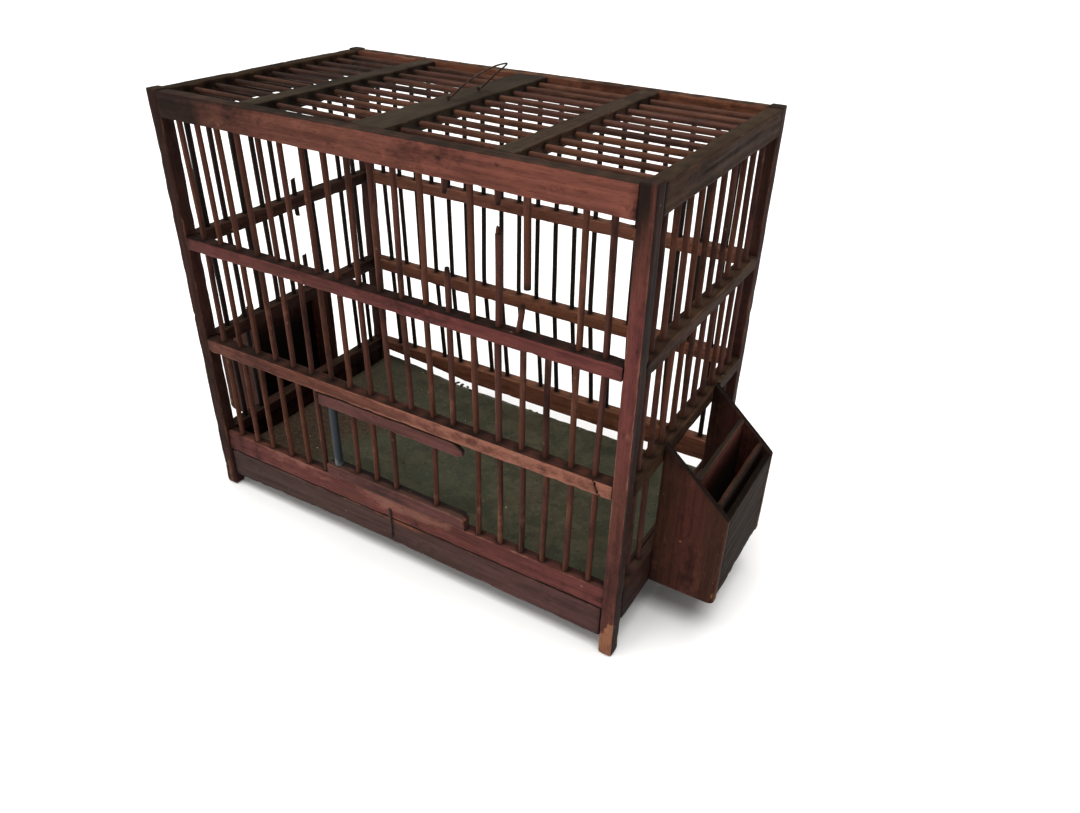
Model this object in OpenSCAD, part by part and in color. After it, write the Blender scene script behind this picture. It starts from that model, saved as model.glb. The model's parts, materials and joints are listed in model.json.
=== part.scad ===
// Table-top wooden bird cage (small aviary) with round bars, a swing door,
// a slide-out floor tray and an open feeder box on each end.
// Units are millimetres, +Z is up, the front faces -Y and the right end +X.
// The origin is at the middle of the footprint, on the surface it stands on.

/* [Frame] */
// Overall width of the frame, over the posts
cage_width = 600; // [450:1:800]
// Overall depth of the frame, over the posts
cage_depth = 340; // [260:1:460]
// Overall height of the cage
cage_height = 526; // [400:1:700]
// Side of each square corner post
post_side = 17; // [14:0.5:24]
// How much each side of a foot narrows at the bottom
foot_chamfer = 1.5; // [1:0.5:7]

/* [Rails] */
// Height of the four top rails
top_rail_height = 29.5; // [22:0.5:36]
// Underside of the upper middle rails
upper_rail_z = 346; // [330:1:370]
// Height of the upper middle rails
upper_rail_height = 16; // [13:0.5:20]
// Underside of the lower middle rails
lower_rail_z = 211; // [205:1:225]
// Height of the lower middle rails
lower_rail_height = 18; // [14:0.5:20]
// Underside of the front bottom rail
bottom_rail_z = 62; // [62:0.5:74]
// Underside of the back bottom rail
back_rail_z = 61; // [61:0.5:74]
// Top of the four bottom rails
bottom_rail_top = 90.5; // [88:0.5:100]
// Underside of the deeper bottom board on each end
side_board_z = 44; // [40:1:50]
// Thickness of the bottom board on each end
side_board_thickness = 12; // [10:0.5:16]

/* [Bars] */
// Diameter of each round bar
bar_diameter = 7; // [5:0.5:9]
// Distance between neighbouring bars
bar_pitch = 28.9; // [27:0.1:30]
// How deep a bar is set into the rail that ends it
bar_socket = 8; // [4:0.5:10]
// How much further back the left ends of the bars across the top lie than their right ends
top_bar_slant = 12; // [0:1:16]
// Height of the three crosspieces on the top
crosspiece_height = 15; // [12:0.5:18]
// Width of the left and right crosspieces
crosspiece_width = 23; // [16:1:30]
// Width of the wide middle crosspiece
middle_crosspiece_width = 41; // [30:1:50]

/* [Door] */
// Height of the top rail of the door
door_top_height = 14; // [10:0.5:18]
// Height of the bottom rail of the door
door_bottom_height = 15; // [12:0.5:20]
// Diameter of the thick upright that the door turns on
door_pivot_diameter = 11; // [9:0.5:13]
// Diameter of the pin at each end of that upright
door_pin_diameter = 6; // [5:0.5:7]

/* [Tray] */
// Height of the board across the front of the tray
tray_front_height = 38; // [28:0.5:39.5]
// Thickness of the board across the front of the tray
tray_front_thickness = 12; // [9:0.5:13]
// How far the bottom rail and the tray sit back from the posts
front_recess = 3; // [0:0.5:4]
// Thickness of the floor of the tray
tray_floor_thickness = 6; // [4:0.5:8]

/* [Handle] */
// Diameter of the wire of the handle on the top
handle_wire = 2; // [1.6:0.1:3]
// Width of the handle between its two legs
handle_width = 56; // [46:1:64]
// Length of the handle from its pins to its far side
handle_length = 46.5; // [36:0.5:60]
// How far the handle leans over from upright, towards the right
handle_tilt = 49; // [0:1:80]

/* [Feeders] */
// How far each feeder box stands out from the end of the cage
feeder_reach = 79; // [60:1:95]
// Thickness of the boards of each feeder box
feeder_board = 8; // [6:0.5:10]

/* [Hidden] */

hw = cage_width / 2;
hd = cage_depth / 2;
ps = post_side;
ix = hw - ps;                 // inner face of the posts, sideways
iy = hd - ps;                 // inner face of the posts, front to back
cx = hw - ps / 2;             // centre line of the end walls
cy = hd - ps / 2;             // centre line of the front and back walls
top_z = cage_height - top_rail_height;
upper_top = upper_rail_z + upper_rail_height;
lower_top = lower_rail_z + lower_rail_height;
bar_hole = bar_diameter + 0.4;
dowel_z = cage_height - 7.5;  // centre line of the bars across the top
slant_angle = atan(top_bar_slant / (2 * ix));
front_x0 = -9 * bar_pitch;    // first of 19 bars across the front and the back
side_y0 = -4.5 * bar_pitch;   // first of 10 bars along each end and the top
cross_left_x = -165;
cross_middle_x = -7;
cross_right_x = 147;
door_gap = 5;
door_left = -100.5;
door_right = 106;
door_pivot_x = front_x0 + 6 * bar_pitch;
door_bottom_z = bottom_rail_top + door_gap;
door_top_z = lower_rail_z - door_gap - door_top_height;
tray_front_z = 21.2;
tray_floor_z = 48.5;
tray_back = 152;
tray_half = ix - 2;
handle_x = -6;
handle_front = -16;            // front leg of the handle
handle_back = handle_front + handle_width;
handle_z = cage_height + 2.8; // height of the handle's pins
eye_wall = 1.5;
eye_thick = 1.6;
eye_depth = 2.8;               // how deep an eye is set, just short of the bars below it
eye_front = handle_front - 5.8;
eye_back = handle_back - 5.8;
feeder_front = -83;
feeder_back = 70;
feeder_z = 48;
feeder_top_in = 236;
feeder_top_out = 168;
wood = [0.42, 0.25, 0.21];
dark_wood = [0.36, 0.28, 0.24];
bar_wood = [0.47, 0.31, 0.26];

function front_bar_x(i) = front_x0 + i * bar_pitch;
function side_bar_y(i) = side_y0 + i * bar_pitch;

// ---------- shared shapes ----------

// A box from its lower corner and its upper corner
module span(a, b) {
  translate(a) cube([b[0] - a[0], b[1] - a[1], b[2] - a[2]]);
}

// An eight-sided upright bar
module upright(x, y, z0, z1, d = bar_diameter) {
  translate([x, y, z0]) rotate([0, 0, 22.5]) cylinder(d = d / cos(22.5), h = z1 - z0, $fn = 8);
}

// An eight-sided bar across the top, the i-th from the front, from x0 to x1
module across(i, x0, x1, d = bar_diameter) {
  translate([ix, side_bar_y(i), dowel_z]) rotate([0, 0, -slant_angle]) translate([x0 - ix, 0, 0])
    rotate([0, 90, 0]) rotate([0, 0, 22.5]) cylinder(d = d / cos(22.5), h = x1 - x0, $fn = 8);
}

// Outline of a post seen from one side, narrowed at the foot
module post_outline() {
  c = foot_chamfer;
  h = 4;
  polygon([[-ps / 2 + c, 0], [ps / 2 - c, 0], [ps / 2, h], [ps / 2, cage_height], [-ps / 2, cage_height], [-ps / 2, h]]);
}

// A square post with a foot that tapers on all four sides
module post(sx, sy) {
  color(wood) translate([sx * cx, sy * cy, 0]) intersection() {
    rotate([90, 0, 0]) linear_extrude(height = ps, center = true) post_outline();
    rotate([90, 0, 90]) linear_extrude(height = ps, center = true) post_outline();
  }
}

// Holes for the 19 bars of the front or the back
module front_holes(y, z0, z1) {
  for (i = [0 : 18]) upright(front_bar_x(i), y, z0, z1, bar_hole);
}

// Holes for the 10 bars of an end
module side_holes(x, z0, z1) {
  for (i = [0 : 9]) upright(x, side_bar_y(i), z0, z1, bar_hole);
}

// ---------- posts ----------

module post_front_left() { post(-1, -1); }
module post_front_right() { post(1, -1); }
module post_back_left() { post(-1, 1); }
module post_back_right() { post(1, 1); }

// ---------- top rails ----------

module top_rail_front() {
  color(wood) difference() {
    span([-ix, -hd, top_z], [ix, -iy, cage_height]);
    front_holes(-cy, top_z - 1, top_z + bar_socket);
  }
}

module top_rail_back() {
  color(wood) difference() {
    span([-ix, iy, top_z], [ix, hd, cage_height]);
    front_holes(cy, top_z - 1, top_z + bar_socket);
  }
}

module end_top_rail(s) {
  color(wood) difference() {
    span([s > 0 ? ix : -hw, -iy, top_z], [s > 0 ? hw : -ix, iy, cage_height]);
    side_holes(s * cx, top_z - 1, top_z + bar_socket);
    for (i = [0 : 9]) across(i, s > 0 ? ix - 1 : -ix - bar_socket, s > 0 ? ix + bar_socket : -ix + 1, bar_hole);
  }
}

module top_rail_left() { end_top_rail(-1); }
module top_rail_right() { end_top_rail(1); }

// ---------- middle rails ----------

module long_rail(s, z0, z1, low_pin = false) {
  color(wood) difference() {
    span([-ix, s > 0 ? iy : -hd, z0], [ix, s > 0 ? hd : -iy, z1]);
    if (low_pin) {
      for (i = [0 : 18]) upright(front_bar_x(i), s * cy, z0 + 10, z1 + 1, bar_hole);
      for (i = [0 : 5]) upright(front_bar_x(i), s * cy, z0 - 1, z0 + 8, bar_hole);
      for (i = [13 : 18]) upright(front_bar_x(i), s * cy, z0 - 1, z0 + 8, bar_hole);
      translate([door_pivot_x, s * cy, z0 - 1]) cylinder(d = door_pin_diameter + 0.2, h = 9, $fn = 24);
    } else front_holes(s * cy, z0 - 1, z1 + 1);
  }
}

module end_rail(s, z0, z1, feeder_side = false) {
  color(wood) difference() {
    span([s > 0 ? ix : -hw, -iy, z0], [s > 0 ? hw : -ix, iy, z1]);
    if (feeder_side) {
      for (i = [0 : 9]) upright(s * cx, side_bar_y(i), z0 + 10, z1 + 1, bar_hole);
      for (i = [0, 1, 8, 9]) upright(s * cx, side_bar_y(i), z0 - 1, z0 + 8, bar_hole);
    } else side_holes(s * cx, z0 - 1, z1 + 1);
  }
}

module upper_rail_front() { long_rail(-1, upper_rail_z, upper_top); }
module upper_rail_back() { long_rail(1, upper_rail_z, upper_top); }
module upper_rail_left() { end_rail(-1, upper_rail_z, upper_top); }
module upper_rail_right() { end_rail(1, upper_rail_z, upper_top); }
module lower_rail_front() { long_rail(-1, lower_rail_z, lower_top, true); }
module lower_rail_back() { long_rail(1, lower_rail_z, lower_top); }
module lower_rail_left() { end_rail(-1, lower_rail_z, lower_top, true); }
module lower_rail_right() { end_rail(1, lower_rail_z, lower_top, true); }

// ---------- bottom rails and boards ----------

module bottom_rail_front() {
  color(wood) difference() {
    span([-ix, -hd + front_recess, bottom_rail_z], [ix, -iy, bottom_rail_top]);
    for (i = [0 : 5]) upright(front_bar_x(i), -cy, bottom_rail_top - bar_socket, bottom_rail_top + 1, bar_hole);
    for (i = [13 : 18]) upright(front_bar_x(i), -cy, bottom_rail_top - bar_socket, bottom_rail_top + 1, bar_hole);
    translate([door_pivot_x, -cy, bottom_rail_top - 8]) cylinder(d = door_pin_diameter + 0.2, h = 9, $fn = 24);
  }
}

module bottom_rail_back() {
  color(wood) difference() {
    span([-ix, iy, back_rail_z], [ix, hd, bottom_rail_top]);
    front_holes(cy, bottom_rail_top - bar_socket, bottom_rail_top + 1);
  }
}

module bottom_board(s) {
  color(dark_wood) difference() {
    union() {
      span([s > 0 ? hw - side_board_thickness : -hw, -iy, side_board_z], [s > 0 ? hw : -hw + side_board_thickness, iy, bottom_rail_top]);
      span([s > 0 ? ix : -hw, -iy, bottom_rail_top - 16], [s > 0 ? hw : -ix, iy, bottom_rail_top]);
    }
    for (i = [0, 1, 8, 9]) upright(s * cx, side_bar_y(i), bottom_rail_top - bar_socket, bottom_rail_top + 1, bar_hole);
  }
}

module bottom_board_left() { bottom_board(-1); }
module bottom_board_right() { bottom_board(1); }

// ---------- crosspieces and bars of the top ----------

module crosspiece(x, w, eyes = false) {
  color(dark_wood) difference() {
    span([x - w / 2, -iy, cage_height - crosspiece_height], [x + w / 2, iy, cage_height]);
    for (i = [0 : 9]) across(i, x - w / 2 - 2, x + w / 2 + 2, bar_hole);
    if (eyes) for (y = [eye_front, eye_back])
      translate([handle_x, y, cage_height - eye_depth - 0.2]) cylinder(d = 2, h = eye_depth + 1, $fn = 16);
  }
}

module top_crosspiece_left() { crosspiece(cross_left_x, crosspiece_width); }
module top_crosspiece_middle() { crosspiece(cross_middle_x, middle_crosspiece_width, true); }
module top_crosspiece_right() { crosspiece(cross_right_x, crosspiece_width); }

module top_bars() {
  color(bar_wood) for (i = [0 : 9]) across(i, -ix - bar_socket, ix + bar_socket);
}

// ---------- upright bars ----------

module front_bars_upper() {
  color(bar_wood) for (i = [0 : 18])
    if (i == 12) {
      upright(front_bar_x(i), -cy, lower_rail_z + 10, upper_top + 46);
      upright(front_bar_x(i), -cy, 480, top_z + bar_socket);
    }
    else if (i == 14) {
      upright(front_bar_x(i), -cy, lower_rail_z + 10, upper_top + 100);
      upright(front_bar_x(i), -cy, 480, top_z + bar_socket);
    }
    else if (i == 15) {
      upright(front_bar_x(i), -cy, lower_rail_z + 10, upper_top + 28);
      upright(front_bar_x(i), -cy, 407, top_z + bar_socket);
    }
    else if (i == 16) upright(front_bar_x(i), -cy, lower_rail_z + 10, upper_top - 2);
    else upright(front_bar_x(i), -cy, lower_rail_z + 10, top_z + bar_socket);
}

module lower_front_bars(i0, i1) {
  color(bar_wood) for (i = [i0 : i1]) upright(front_bar_x(i), -cy, bottom_rail_top - bar_socket, lower_rail_z + 8);
}

module front_bars_lower_left() { lower_front_bars(0, 5); }
module front_bars_lower_right() { lower_front_bars(13, 18); }

module back_bars() {
  color(bar_wood) for (i = [0 : 18]) upright(front_bar_x(i), cy, bottom_rail_top - bar_socket, top_z + bar_socket);
}

module end_bars_upper(s) {
  color(bar_wood) for (i = [0 : 9]) upright(s * cx, side_bar_y(i), lower_rail_z + 10, top_z + bar_socket);
}

module end_bars_lower(s) {
  color(bar_wood) for (i = [0, 1, 8, 9]) upright(s * cx, side_bar_y(i), bottom_rail_top - bar_socket, lower_rail_z + 8);
}

// The sixth bar of the left end has broken out above and below the upper middle rail
module left_bars_upper() {
  color(bar_wood) for (i = [0 : 9])
    if (i == 5) {
      upright(-cx, side_bar_y(i), lower_rail_z + 10, 280);
      upright(-cx, side_bar_y(i), upper_rail_z - 15, upper_top + 25);
    }
    else upright(-cx, side_bar_y(i), lower_rail_z + 10, top_z + bar_socket);
}
module left_bars_lower() { end_bars_lower(-1); }
module right_bars_upper() { end_bars_upper(1); }
module right_bars_lower() { end_bars_lower(1); }

// ---------- door ----------

module door_rail(z0, z1) {
  color(wood) difference() {
    span([door_left, -hd, z0], [door_right, -iy, z1]);
    for (i = [7, 8, 9, 11]) upright(front_bar_x(i), -cy, z0 - 1, z1 + 1, bar_hole);
    translate([door_pivot_x, -cy, z0 - 1]) cylinder(d = door_pivot_diameter + 0.2, h = z1 - z0 + 2, $fn = 32);
  }
}

module door_top_rail() { door_rail(door_top_z, door_top_z + door_top_height); }
module door_bottom_rail() { door_rail(door_bottom_z, door_bottom_z + door_bottom_height); }

module door_bars() {
  color(bar_wood) for (i = [7, 8, 9, 11]) upright(front_bar_x(i), -cy, door_bottom_z, door_top_z + door_top_height);
}

module door_pivot_upright() {
  color([0.33, 0.38, 0.42]) translate([door_pivot_x, -cy, 0]) union() {
    translate([0, 0, door_bottom_z]) cylinder(d = door_pivot_diameter, h = door_top_z + door_top_height - door_bottom_z, $fn = 32);
    translate([0, 0, bottom_rail_top - 7]) cylinder(d = door_pin_diameter, h = lower_rail_z + 7 - bottom_rail_top + 7, $fn = 24);
  }
}

// ---------- tray ----------

module tray_front() {
  color(dark_wood) span([-tray_half, -hd + front_recess, tray_front_z], [tray_half, -hd + front_recess + tray_front_thickness, tray_front_z + tray_front_height]);
}

module tray_floor() {
  color([0.38, 0.38, 0.33]) span([-tray_half, -hd + front_recess + tray_front_thickness, tray_floor_z], [tray_half, tray_back, tray_floor_z + tray_floor_thickness]);
}

module tray_catch() {
  color([0.2, 0.18, 0.17]) translate([-5, -hd + 1.4, 0]) union() {
    translate([0, 0, 35]) cylinder(d = 2.2, h = 41, $fn = 16);
    translate([0, front_recess - 1.4, 35]) rotate([90, 0, 0]) cylinder(d = 4.5, h = front_recess - 0.2, $fn = 16);
  }
}

module tray_runners() {
  color(dark_wood) for (s = [-1, 1]) translate([s > 0 ? hw - side_board_thickness - 12 : -hw + side_board_thickness, -iy, 39.5]) cube([12, 2 * iy, 8.5]);
}

// ---------- wire handle on the top ----------

// A straight run of the wire, in the Y-Z plane
module wire_up(y, z0, z1) {
  translate([0, y, z0]) cylinder(d = handle_wire, h = z1 - z0, $fn = 24);
}

module wire_along(z, y0, y1) {
  translate([0, y0, z]) rotate([-90, 0, 0]) cylinder(d = handle_wire, h = y1 - y0, $fn = 24);
}

// A quarter bend of the wire in the Y-Z plane, centred on [y, z], starting at angle a from +Y
module wire_bend(y, z, r, a) {
  translate([0, y, z]) rotate([90, 0, 90]) rotate([0, 0, a])
    rotate_extrude(angle = 90, $fn = 48) translate([r, 0]) circle(d = handle_wire, $fn = 24);
}

module handle_bail() {
  r = 3;
  ra = 18;
  rb = 9;
  a = handle_front;
  b = handle_back;
  color([0.2, 0.16, 0.13]) translate([handle_x, 0, handle_z]) rotate([0, handle_tilt, 0]) union() {
    wire_along(0, a - 8.5, a - r);
    wire_bend(a - r, r, r, -90);
    wire_up(a, r, handle_length - ra);
    wire_bend(a + ra, handle_length - ra, ra, 90);
    wire_along(handle_length, a + ra, b - rb);
    wire_bend(b - rb, handle_length - rb, rb, 0);
    wire_up(b, r, handle_length - rb);
    wire_bend(b - r, r, r, -90);
    wire_along(0, b - 8.5, b - r);
  }
}

module handle_eyes() {
  color([0.2, 0.16, 0.13]) for (y = [eye_front, eye_back]) translate([handle_x, y, handle_z]) difference() {
    union() {
      rotate([90, 0, 0]) cylinder(d = handle_wire + 0.2 + 2 * eye_wall, h = eye_thick, center = true, $fn = 32);
      translate([0, 0, cage_height - eye_depth - handle_z]) cylinder(d = 1.8, h = handle_z - cage_height + eye_depth - handle_wire / 2 - 0.6, $fn = 16);
    }
    rotate([90, 0, 0]) cylinder(d = handle_wire + 0.2, h = eye_thick + 2, center = true, $fn = 32);
  }
}

// ---------- feeder boxes ----------

// Outline of a cheek, in the X-Z plane
module cheek_outline() {
  r = 8;
  polygon([
    [0, feeder_z], [feeder_reach - r, feeder_z],
    [feeder_reach - r + r * sin(30), feeder_z + r - r * cos(30)],
    [feeder_reach - r + r * sin(60), feeder_z + r - r * cos(60)],
    [feeder_reach, feeder_z + r],
    [feeder_reach, feeder_top_out - 3], [feeder_reach - 3, feeder_top_out],
    [0, feeder_top_in]]);
}

module feeder_cheeks(s) {
  color(wood) for (y = [feeder_front + feeder_board, feeder_back])
    translate([s * hw, y, 0]) rotate([90, 0, 0]) scale([s, 1, 1]) linear_extrude(feeder_board) cheek_outline();
}

// A board that runs the length of the box
module feeder_span(s, x0, x1, z0, z1) {
  translate([s > 0 ? hw + x0 : -hw - x1, feeder_front + feeder_board, z0])
    cube([x1 - x0, feeder_back - feeder_front - 2 * feeder_board, z1 - z0]);
}

module feeder_outer_board(s) {
  color(dark_wood) feeder_span(s, feeder_reach - feeder_board, feeder_reach - 0.5, feeder_z + 6.5, feeder_top_out - 2);
}

module feeder_dividers(s) {
  color(wood) {
    feeder_span(s, 35, 41, feeder_z + 9, 202);
    feeder_span(s, 61, 67, feeder_z + 9, 179);
  }
}

module feeder_floor(s) {
  color(wood) feeder_span(s, 0, feeder_reach - feeder_board, feeder_z + 1, feeder_z + 9);
}

module left_feeder_cheeks() { feeder_cheeks(-1); }
module left_feeder_outer_board() { feeder_outer_board(-1); }
module left_feeder_dividers() { feeder_dividers(-1); }
module left_feeder_floor() { feeder_floor(-1); }
module right_feeder_cheeks() { feeder_cheeks(1); }
module right_feeder_outer_board() { feeder_outer_board(1); }
module right_feeder_dividers() { feeder_dividers(1); }
module right_feeder_floor() { feeder_floor(1); }

post_front_left();
post_front_right();
post_back_left();
post_back_right();
top_rail_front();
top_rail_back();
top_rail_left();
top_rail_right();
upper_rail_front();
upper_rail_back();
upper_rail_left();
upper_rail_right();
lower_rail_front();
lower_rail_back();
lower_rail_left();
lower_rail_right();
bottom_rail_front();
bottom_rail_back();
bottom_board_left();
bottom_board_right();
top_crosspiece_left();
top_crosspiece_middle();
top_crosspiece_right();
top_bars();
front_bars_upper();
front_bars_lower_left();
front_bars_lower_right();
back_bars();
left_bars_upper();
left_bars_lower();
right_bars_upper();
right_bars_lower();
door_top_rail();
door_bottom_rail();
door_bars();
door_pivot_upright();
tray_front();
tray_floor();
tray_catch();
tray_runners();
handle_bail();
handle_eyes();
left_feeder_cheeks();
left_feeder_outer_board();
left_feeder_dividers();
left_feeder_floor();
right_feeder_cheeks();
right_feeder_outer_board();
right_feeder_dividers();
right_feeder_floor();
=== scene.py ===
import bpy
import json
import math
import numpy as np
from mathutils import Matrix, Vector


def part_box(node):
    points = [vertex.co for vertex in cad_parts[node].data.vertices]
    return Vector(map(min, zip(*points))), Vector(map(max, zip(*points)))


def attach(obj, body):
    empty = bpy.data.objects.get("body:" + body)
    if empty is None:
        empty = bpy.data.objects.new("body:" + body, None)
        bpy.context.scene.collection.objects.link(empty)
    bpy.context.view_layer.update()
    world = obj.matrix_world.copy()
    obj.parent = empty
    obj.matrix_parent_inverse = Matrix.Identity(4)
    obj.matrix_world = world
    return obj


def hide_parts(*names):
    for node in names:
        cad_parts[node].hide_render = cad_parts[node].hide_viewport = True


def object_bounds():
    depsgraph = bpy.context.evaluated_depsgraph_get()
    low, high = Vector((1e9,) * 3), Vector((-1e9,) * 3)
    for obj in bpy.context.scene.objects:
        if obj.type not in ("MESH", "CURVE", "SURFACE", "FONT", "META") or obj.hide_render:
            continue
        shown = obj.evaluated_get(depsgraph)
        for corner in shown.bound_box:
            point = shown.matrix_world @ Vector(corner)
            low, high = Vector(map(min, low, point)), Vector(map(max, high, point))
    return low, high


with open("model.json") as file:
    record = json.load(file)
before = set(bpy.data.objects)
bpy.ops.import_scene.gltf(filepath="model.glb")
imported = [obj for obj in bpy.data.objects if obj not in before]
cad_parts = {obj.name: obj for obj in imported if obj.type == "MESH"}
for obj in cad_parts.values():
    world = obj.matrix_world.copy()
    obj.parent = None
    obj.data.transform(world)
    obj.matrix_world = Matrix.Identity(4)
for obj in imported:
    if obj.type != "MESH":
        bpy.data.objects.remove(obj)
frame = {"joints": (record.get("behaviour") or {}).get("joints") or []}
cad_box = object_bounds()

# Everything below is worked out in millimetres and turned into metres when a mesh is made.
CAD_LO = np.array(cad_box[0]) * 1000
CAD_HI = np.array(cad_box[1]) * 1000


def B(node):
    lo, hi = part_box(node)
    return np.array(lo) * 1000, np.array(hi) * 1000


# ---------------------------------------------------------------- noise

def _hash(i, j, k, s):
    u = np.uint64
    n = (i.astype(u) * u(73856093)) ^ (j.astype(u) * u(19349663)) ^ (k.astype(u) * u(83492791)) ^ u((s * 2654435761 + 97) & 0xFFFFFFFF)
    n = n & u(0xFFFFFFFF)
    for _ in range(2):
        n = ((n ^ (n >> u(16))) * u(0x45D9F3B)) & u(0xFFFFFFFF)
    n = n ^ (n >> u(16))
    return n.astype(float) / 4294967295.0


def vnoise(p, size, seed=0):
    """Smooth noise in -1..1 over points p (mm), with features of about size mm."""
    q = np.asarray(p, float) / size + 311.7
    i = np.floor(q).astype(np.int64)
    f = q - i
    f = f * f * (3 - 2 * f)
    out = np.zeros(len(q))
    for a in (0, 1):
        wa = f[:, 0] if a else 1 - f[:, 0]
        for b in (0, 1):
            wb = f[:, 1] if b else 1 - f[:, 1]
            for c in (0, 1):
                wc = f[:, 2] if c else 1 - f[:, 2]
                out += wa * wb * wc * _hash(i[:, 0] + a, i[:, 1] + b, i[:, 2] + c, seed)
    return out * 2 - 1


def n1(t, size, seed=0):
    t = np.atleast_1d(np.asarray(t, float))
    return vnoise(np.stack([t, np.full_like(t, seed * 17.3), np.zeros_like(t)], 1), size, seed)


def smooth(x, a, b):
    t = np.clip((np.asarray(x, float) - a) / (b - a), 0, 1)
    return t * t * (3 - 2 * t)


def bump_at(x, c, w):
    return np.exp(-((np.asarray(x, float) - c) / w) ** 2)


# ---------------------------------------------------------------- meshes

class Geo:
    """Gathers vertices, faces and the masks that the materials read."""

    def __init__(self):
        self.v, self.q, self.t, self.g, self.a, self.b = [], [], [], [], [], []
        self.n = 0

    def add(self, v, q, t, g, a, b):
        self.v.append(v)
        if len(q):
            self.q.append(np.asarray(q, np.int64) + self.n)
        if len(t):
            self.t.append(np.asarray(t, np.int64) + self.n)
        self.g.append(g)
        self.a.append(a)
        self.b.append(b)
        self.n += len(v)
        return self

    def build(self, name, body, mat, slot, replaces=(), angle=48, clip=True):
        v = np.concatenate(self.v)
        if clip:
            v = np.clip(v, CAD_LO, CAD_HI)
        q = np.concatenate(self.q) if self.q else np.zeros((0, 4), np.int64)
        t = np.concatenate(self.t) if self.t else np.zeros((0, 3), np.int64)
        me = bpy.data.meshes.new(name)
        me.vertices.add(len(v))
        me.vertices.foreach_set("co", (v * 0.001).astype(np.float32).ravel())
        loops = np.concatenate([q.ravel(), t.ravel()]).astype(np.int32)
        me.loops.add(len(loops))
        me.loops.foreach_set("vertex_index", loops)
        starts = np.concatenate([np.arange(len(q)) * 4, len(q) * 4 + np.arange(len(t)) * 3]).astype(np.int32)
        me.polygons.add(len(starts))
        me.polygons.foreach_set("loop_start", starts)
        me.polygons.foreach_set("use_smooth", np.ones(len(starts), bool))
        me.update(calc_edges=True)
        me.validate()
        for key, kind, field, data, unit in (("gco", "FLOAT_VECTOR", "vector", self.g, 0.001), ("ma", "FLOAT_COLOR", "color", self.a, 1), ("mb", "FLOAT_COLOR", "color", self.b, 1)):
            at = me.attributes.new(key, kind, "POINT")
            at.data.foreach_set(field, (np.concatenate(data) * unit).astype(np.float32).ravel())
        me.set_sharp_from_angle(angle=math.radians(angle))
        me.materials.append(mat)
        o = bpy.data.objects.new(name, me)
        bpy.context.scene.collection.objects.link(o)
        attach(o, body)
        if replaces:
            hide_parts(*replaces)
        return o


def side_points(length, du):
    """Places of the points inside one flat side, close together near its ends."""
    if length < 1.0:
        return []
    if length < 5.0:
        return [0.0]
    e = length / 2 - min(2.4, length * 0.22)
    n = max(1, int(math.ceil(2 * e / du)))
    return list(np.linspace(-e, e, n + 1))


def section(a, b, r, du):
    """Rounded rectangle, half sides a and b, as rows of u, v, nu, nv, edge; and how many points each side has."""
    rows, counts = [], []
    s = math.sqrt(0.5)
    sides = [((1, 0), (0, -1), a, b), ((0, 1), (1, 0), b, a), ((-1, 0), (0, 1), a, b), ((0, -1), (-1, 0), b, a)]
    for (d, n, half, out) in sides:
        d, n = np.array(d, float), np.array(n, float)
        c = -d * (half - r) + n * (out - r)
        k = (n - d) * s
        rows.append([*(c + k * r), *k, 1.0])
        rows.append([*(c + n * r), *n, 0.8])
        for w in side_points(2 * (half - r), du):
            rows.append([*(d * w + n * out), *n, 0.55 * math.exp(-(half - r - abs(w)) / 2.2)])
        rows.append([*(d * (half - r) + n * out), *n, 0.8])
        counts.append(len(rows) - sum(counts))
    return np.array(rows), counts


def cap_grid(counts, base, ring_xyz, flip):
    """Closes a ring with a grid of quads. Returns new vertices, quads and, for each new vertex, four ring indices to blend masks from."""
    nu, nv = counts[0], counts[1]
    m = sum(counts)
    idx = np.zeros((nu + 1, nv + 1), int)
    s0 = list(range(0, counts[0] + 1))
    s1 = list(range(counts[0], counts[0] + counts[1] + 1))
    s2 = list(range(counts[0] + counts[1], counts[0] + counts[1] + counts[2] + 1))
    s3 = [i % m for i in range(counts[0] + counts[1] + counts[2], m + 1)]
    for i, k in enumerate(s0):
        idx[i, 0] = k
    for j, k in enumerate(s1):
        idx[nu, j] = k
    for i, k in enumerate(s2):
        idx[nu - i, nv] = k
    for j, k in enumerate(s3):
        idx[0, nv - j] = k
    new, src = [], []
    for i in range(1, nu):
        for j in range(1, nv):
            u, w = i / nu, j / nv
            lft, rgt, bot, top = ring_xyz[idx[0, j]], ring_xyz[idx[nu, j]], ring_xyz[idx[i, 0]], ring_xyz[idx[i, nv]]
            c00, c10, c01, c11 = ring_xyz[idx[0, 0]], ring_xyz[idx[nu, 0]], ring_xyz[idx[0, nv]], ring_xyz[idx[nu, nv]]
            p = (1 - u) * lft + u * rgt + (1 - w) * bot + w * top - ((1 - u) * (1 - w) * c00 + u * (1 - w) * c10 + (1 - u) * w * c01 + u * w * c11)
            src.append(idx[i, 0] if w < 0.5 else idx[i, nv])
            idx[i, j] = m + len(new)
            new.append(p)
    quads = []
    for i in range(nu):
        for j in range(nv):
            f = [idx[i, j], idx[i + 1, j], idx[i + 1, j + 1], idx[i, j + 1]]
            quads.append(f[::-1] if flip else f)
    return (np.array(new) if new else np.zeros((0, 3))), np.array(quads) + base, src


SEED = [100]


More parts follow.
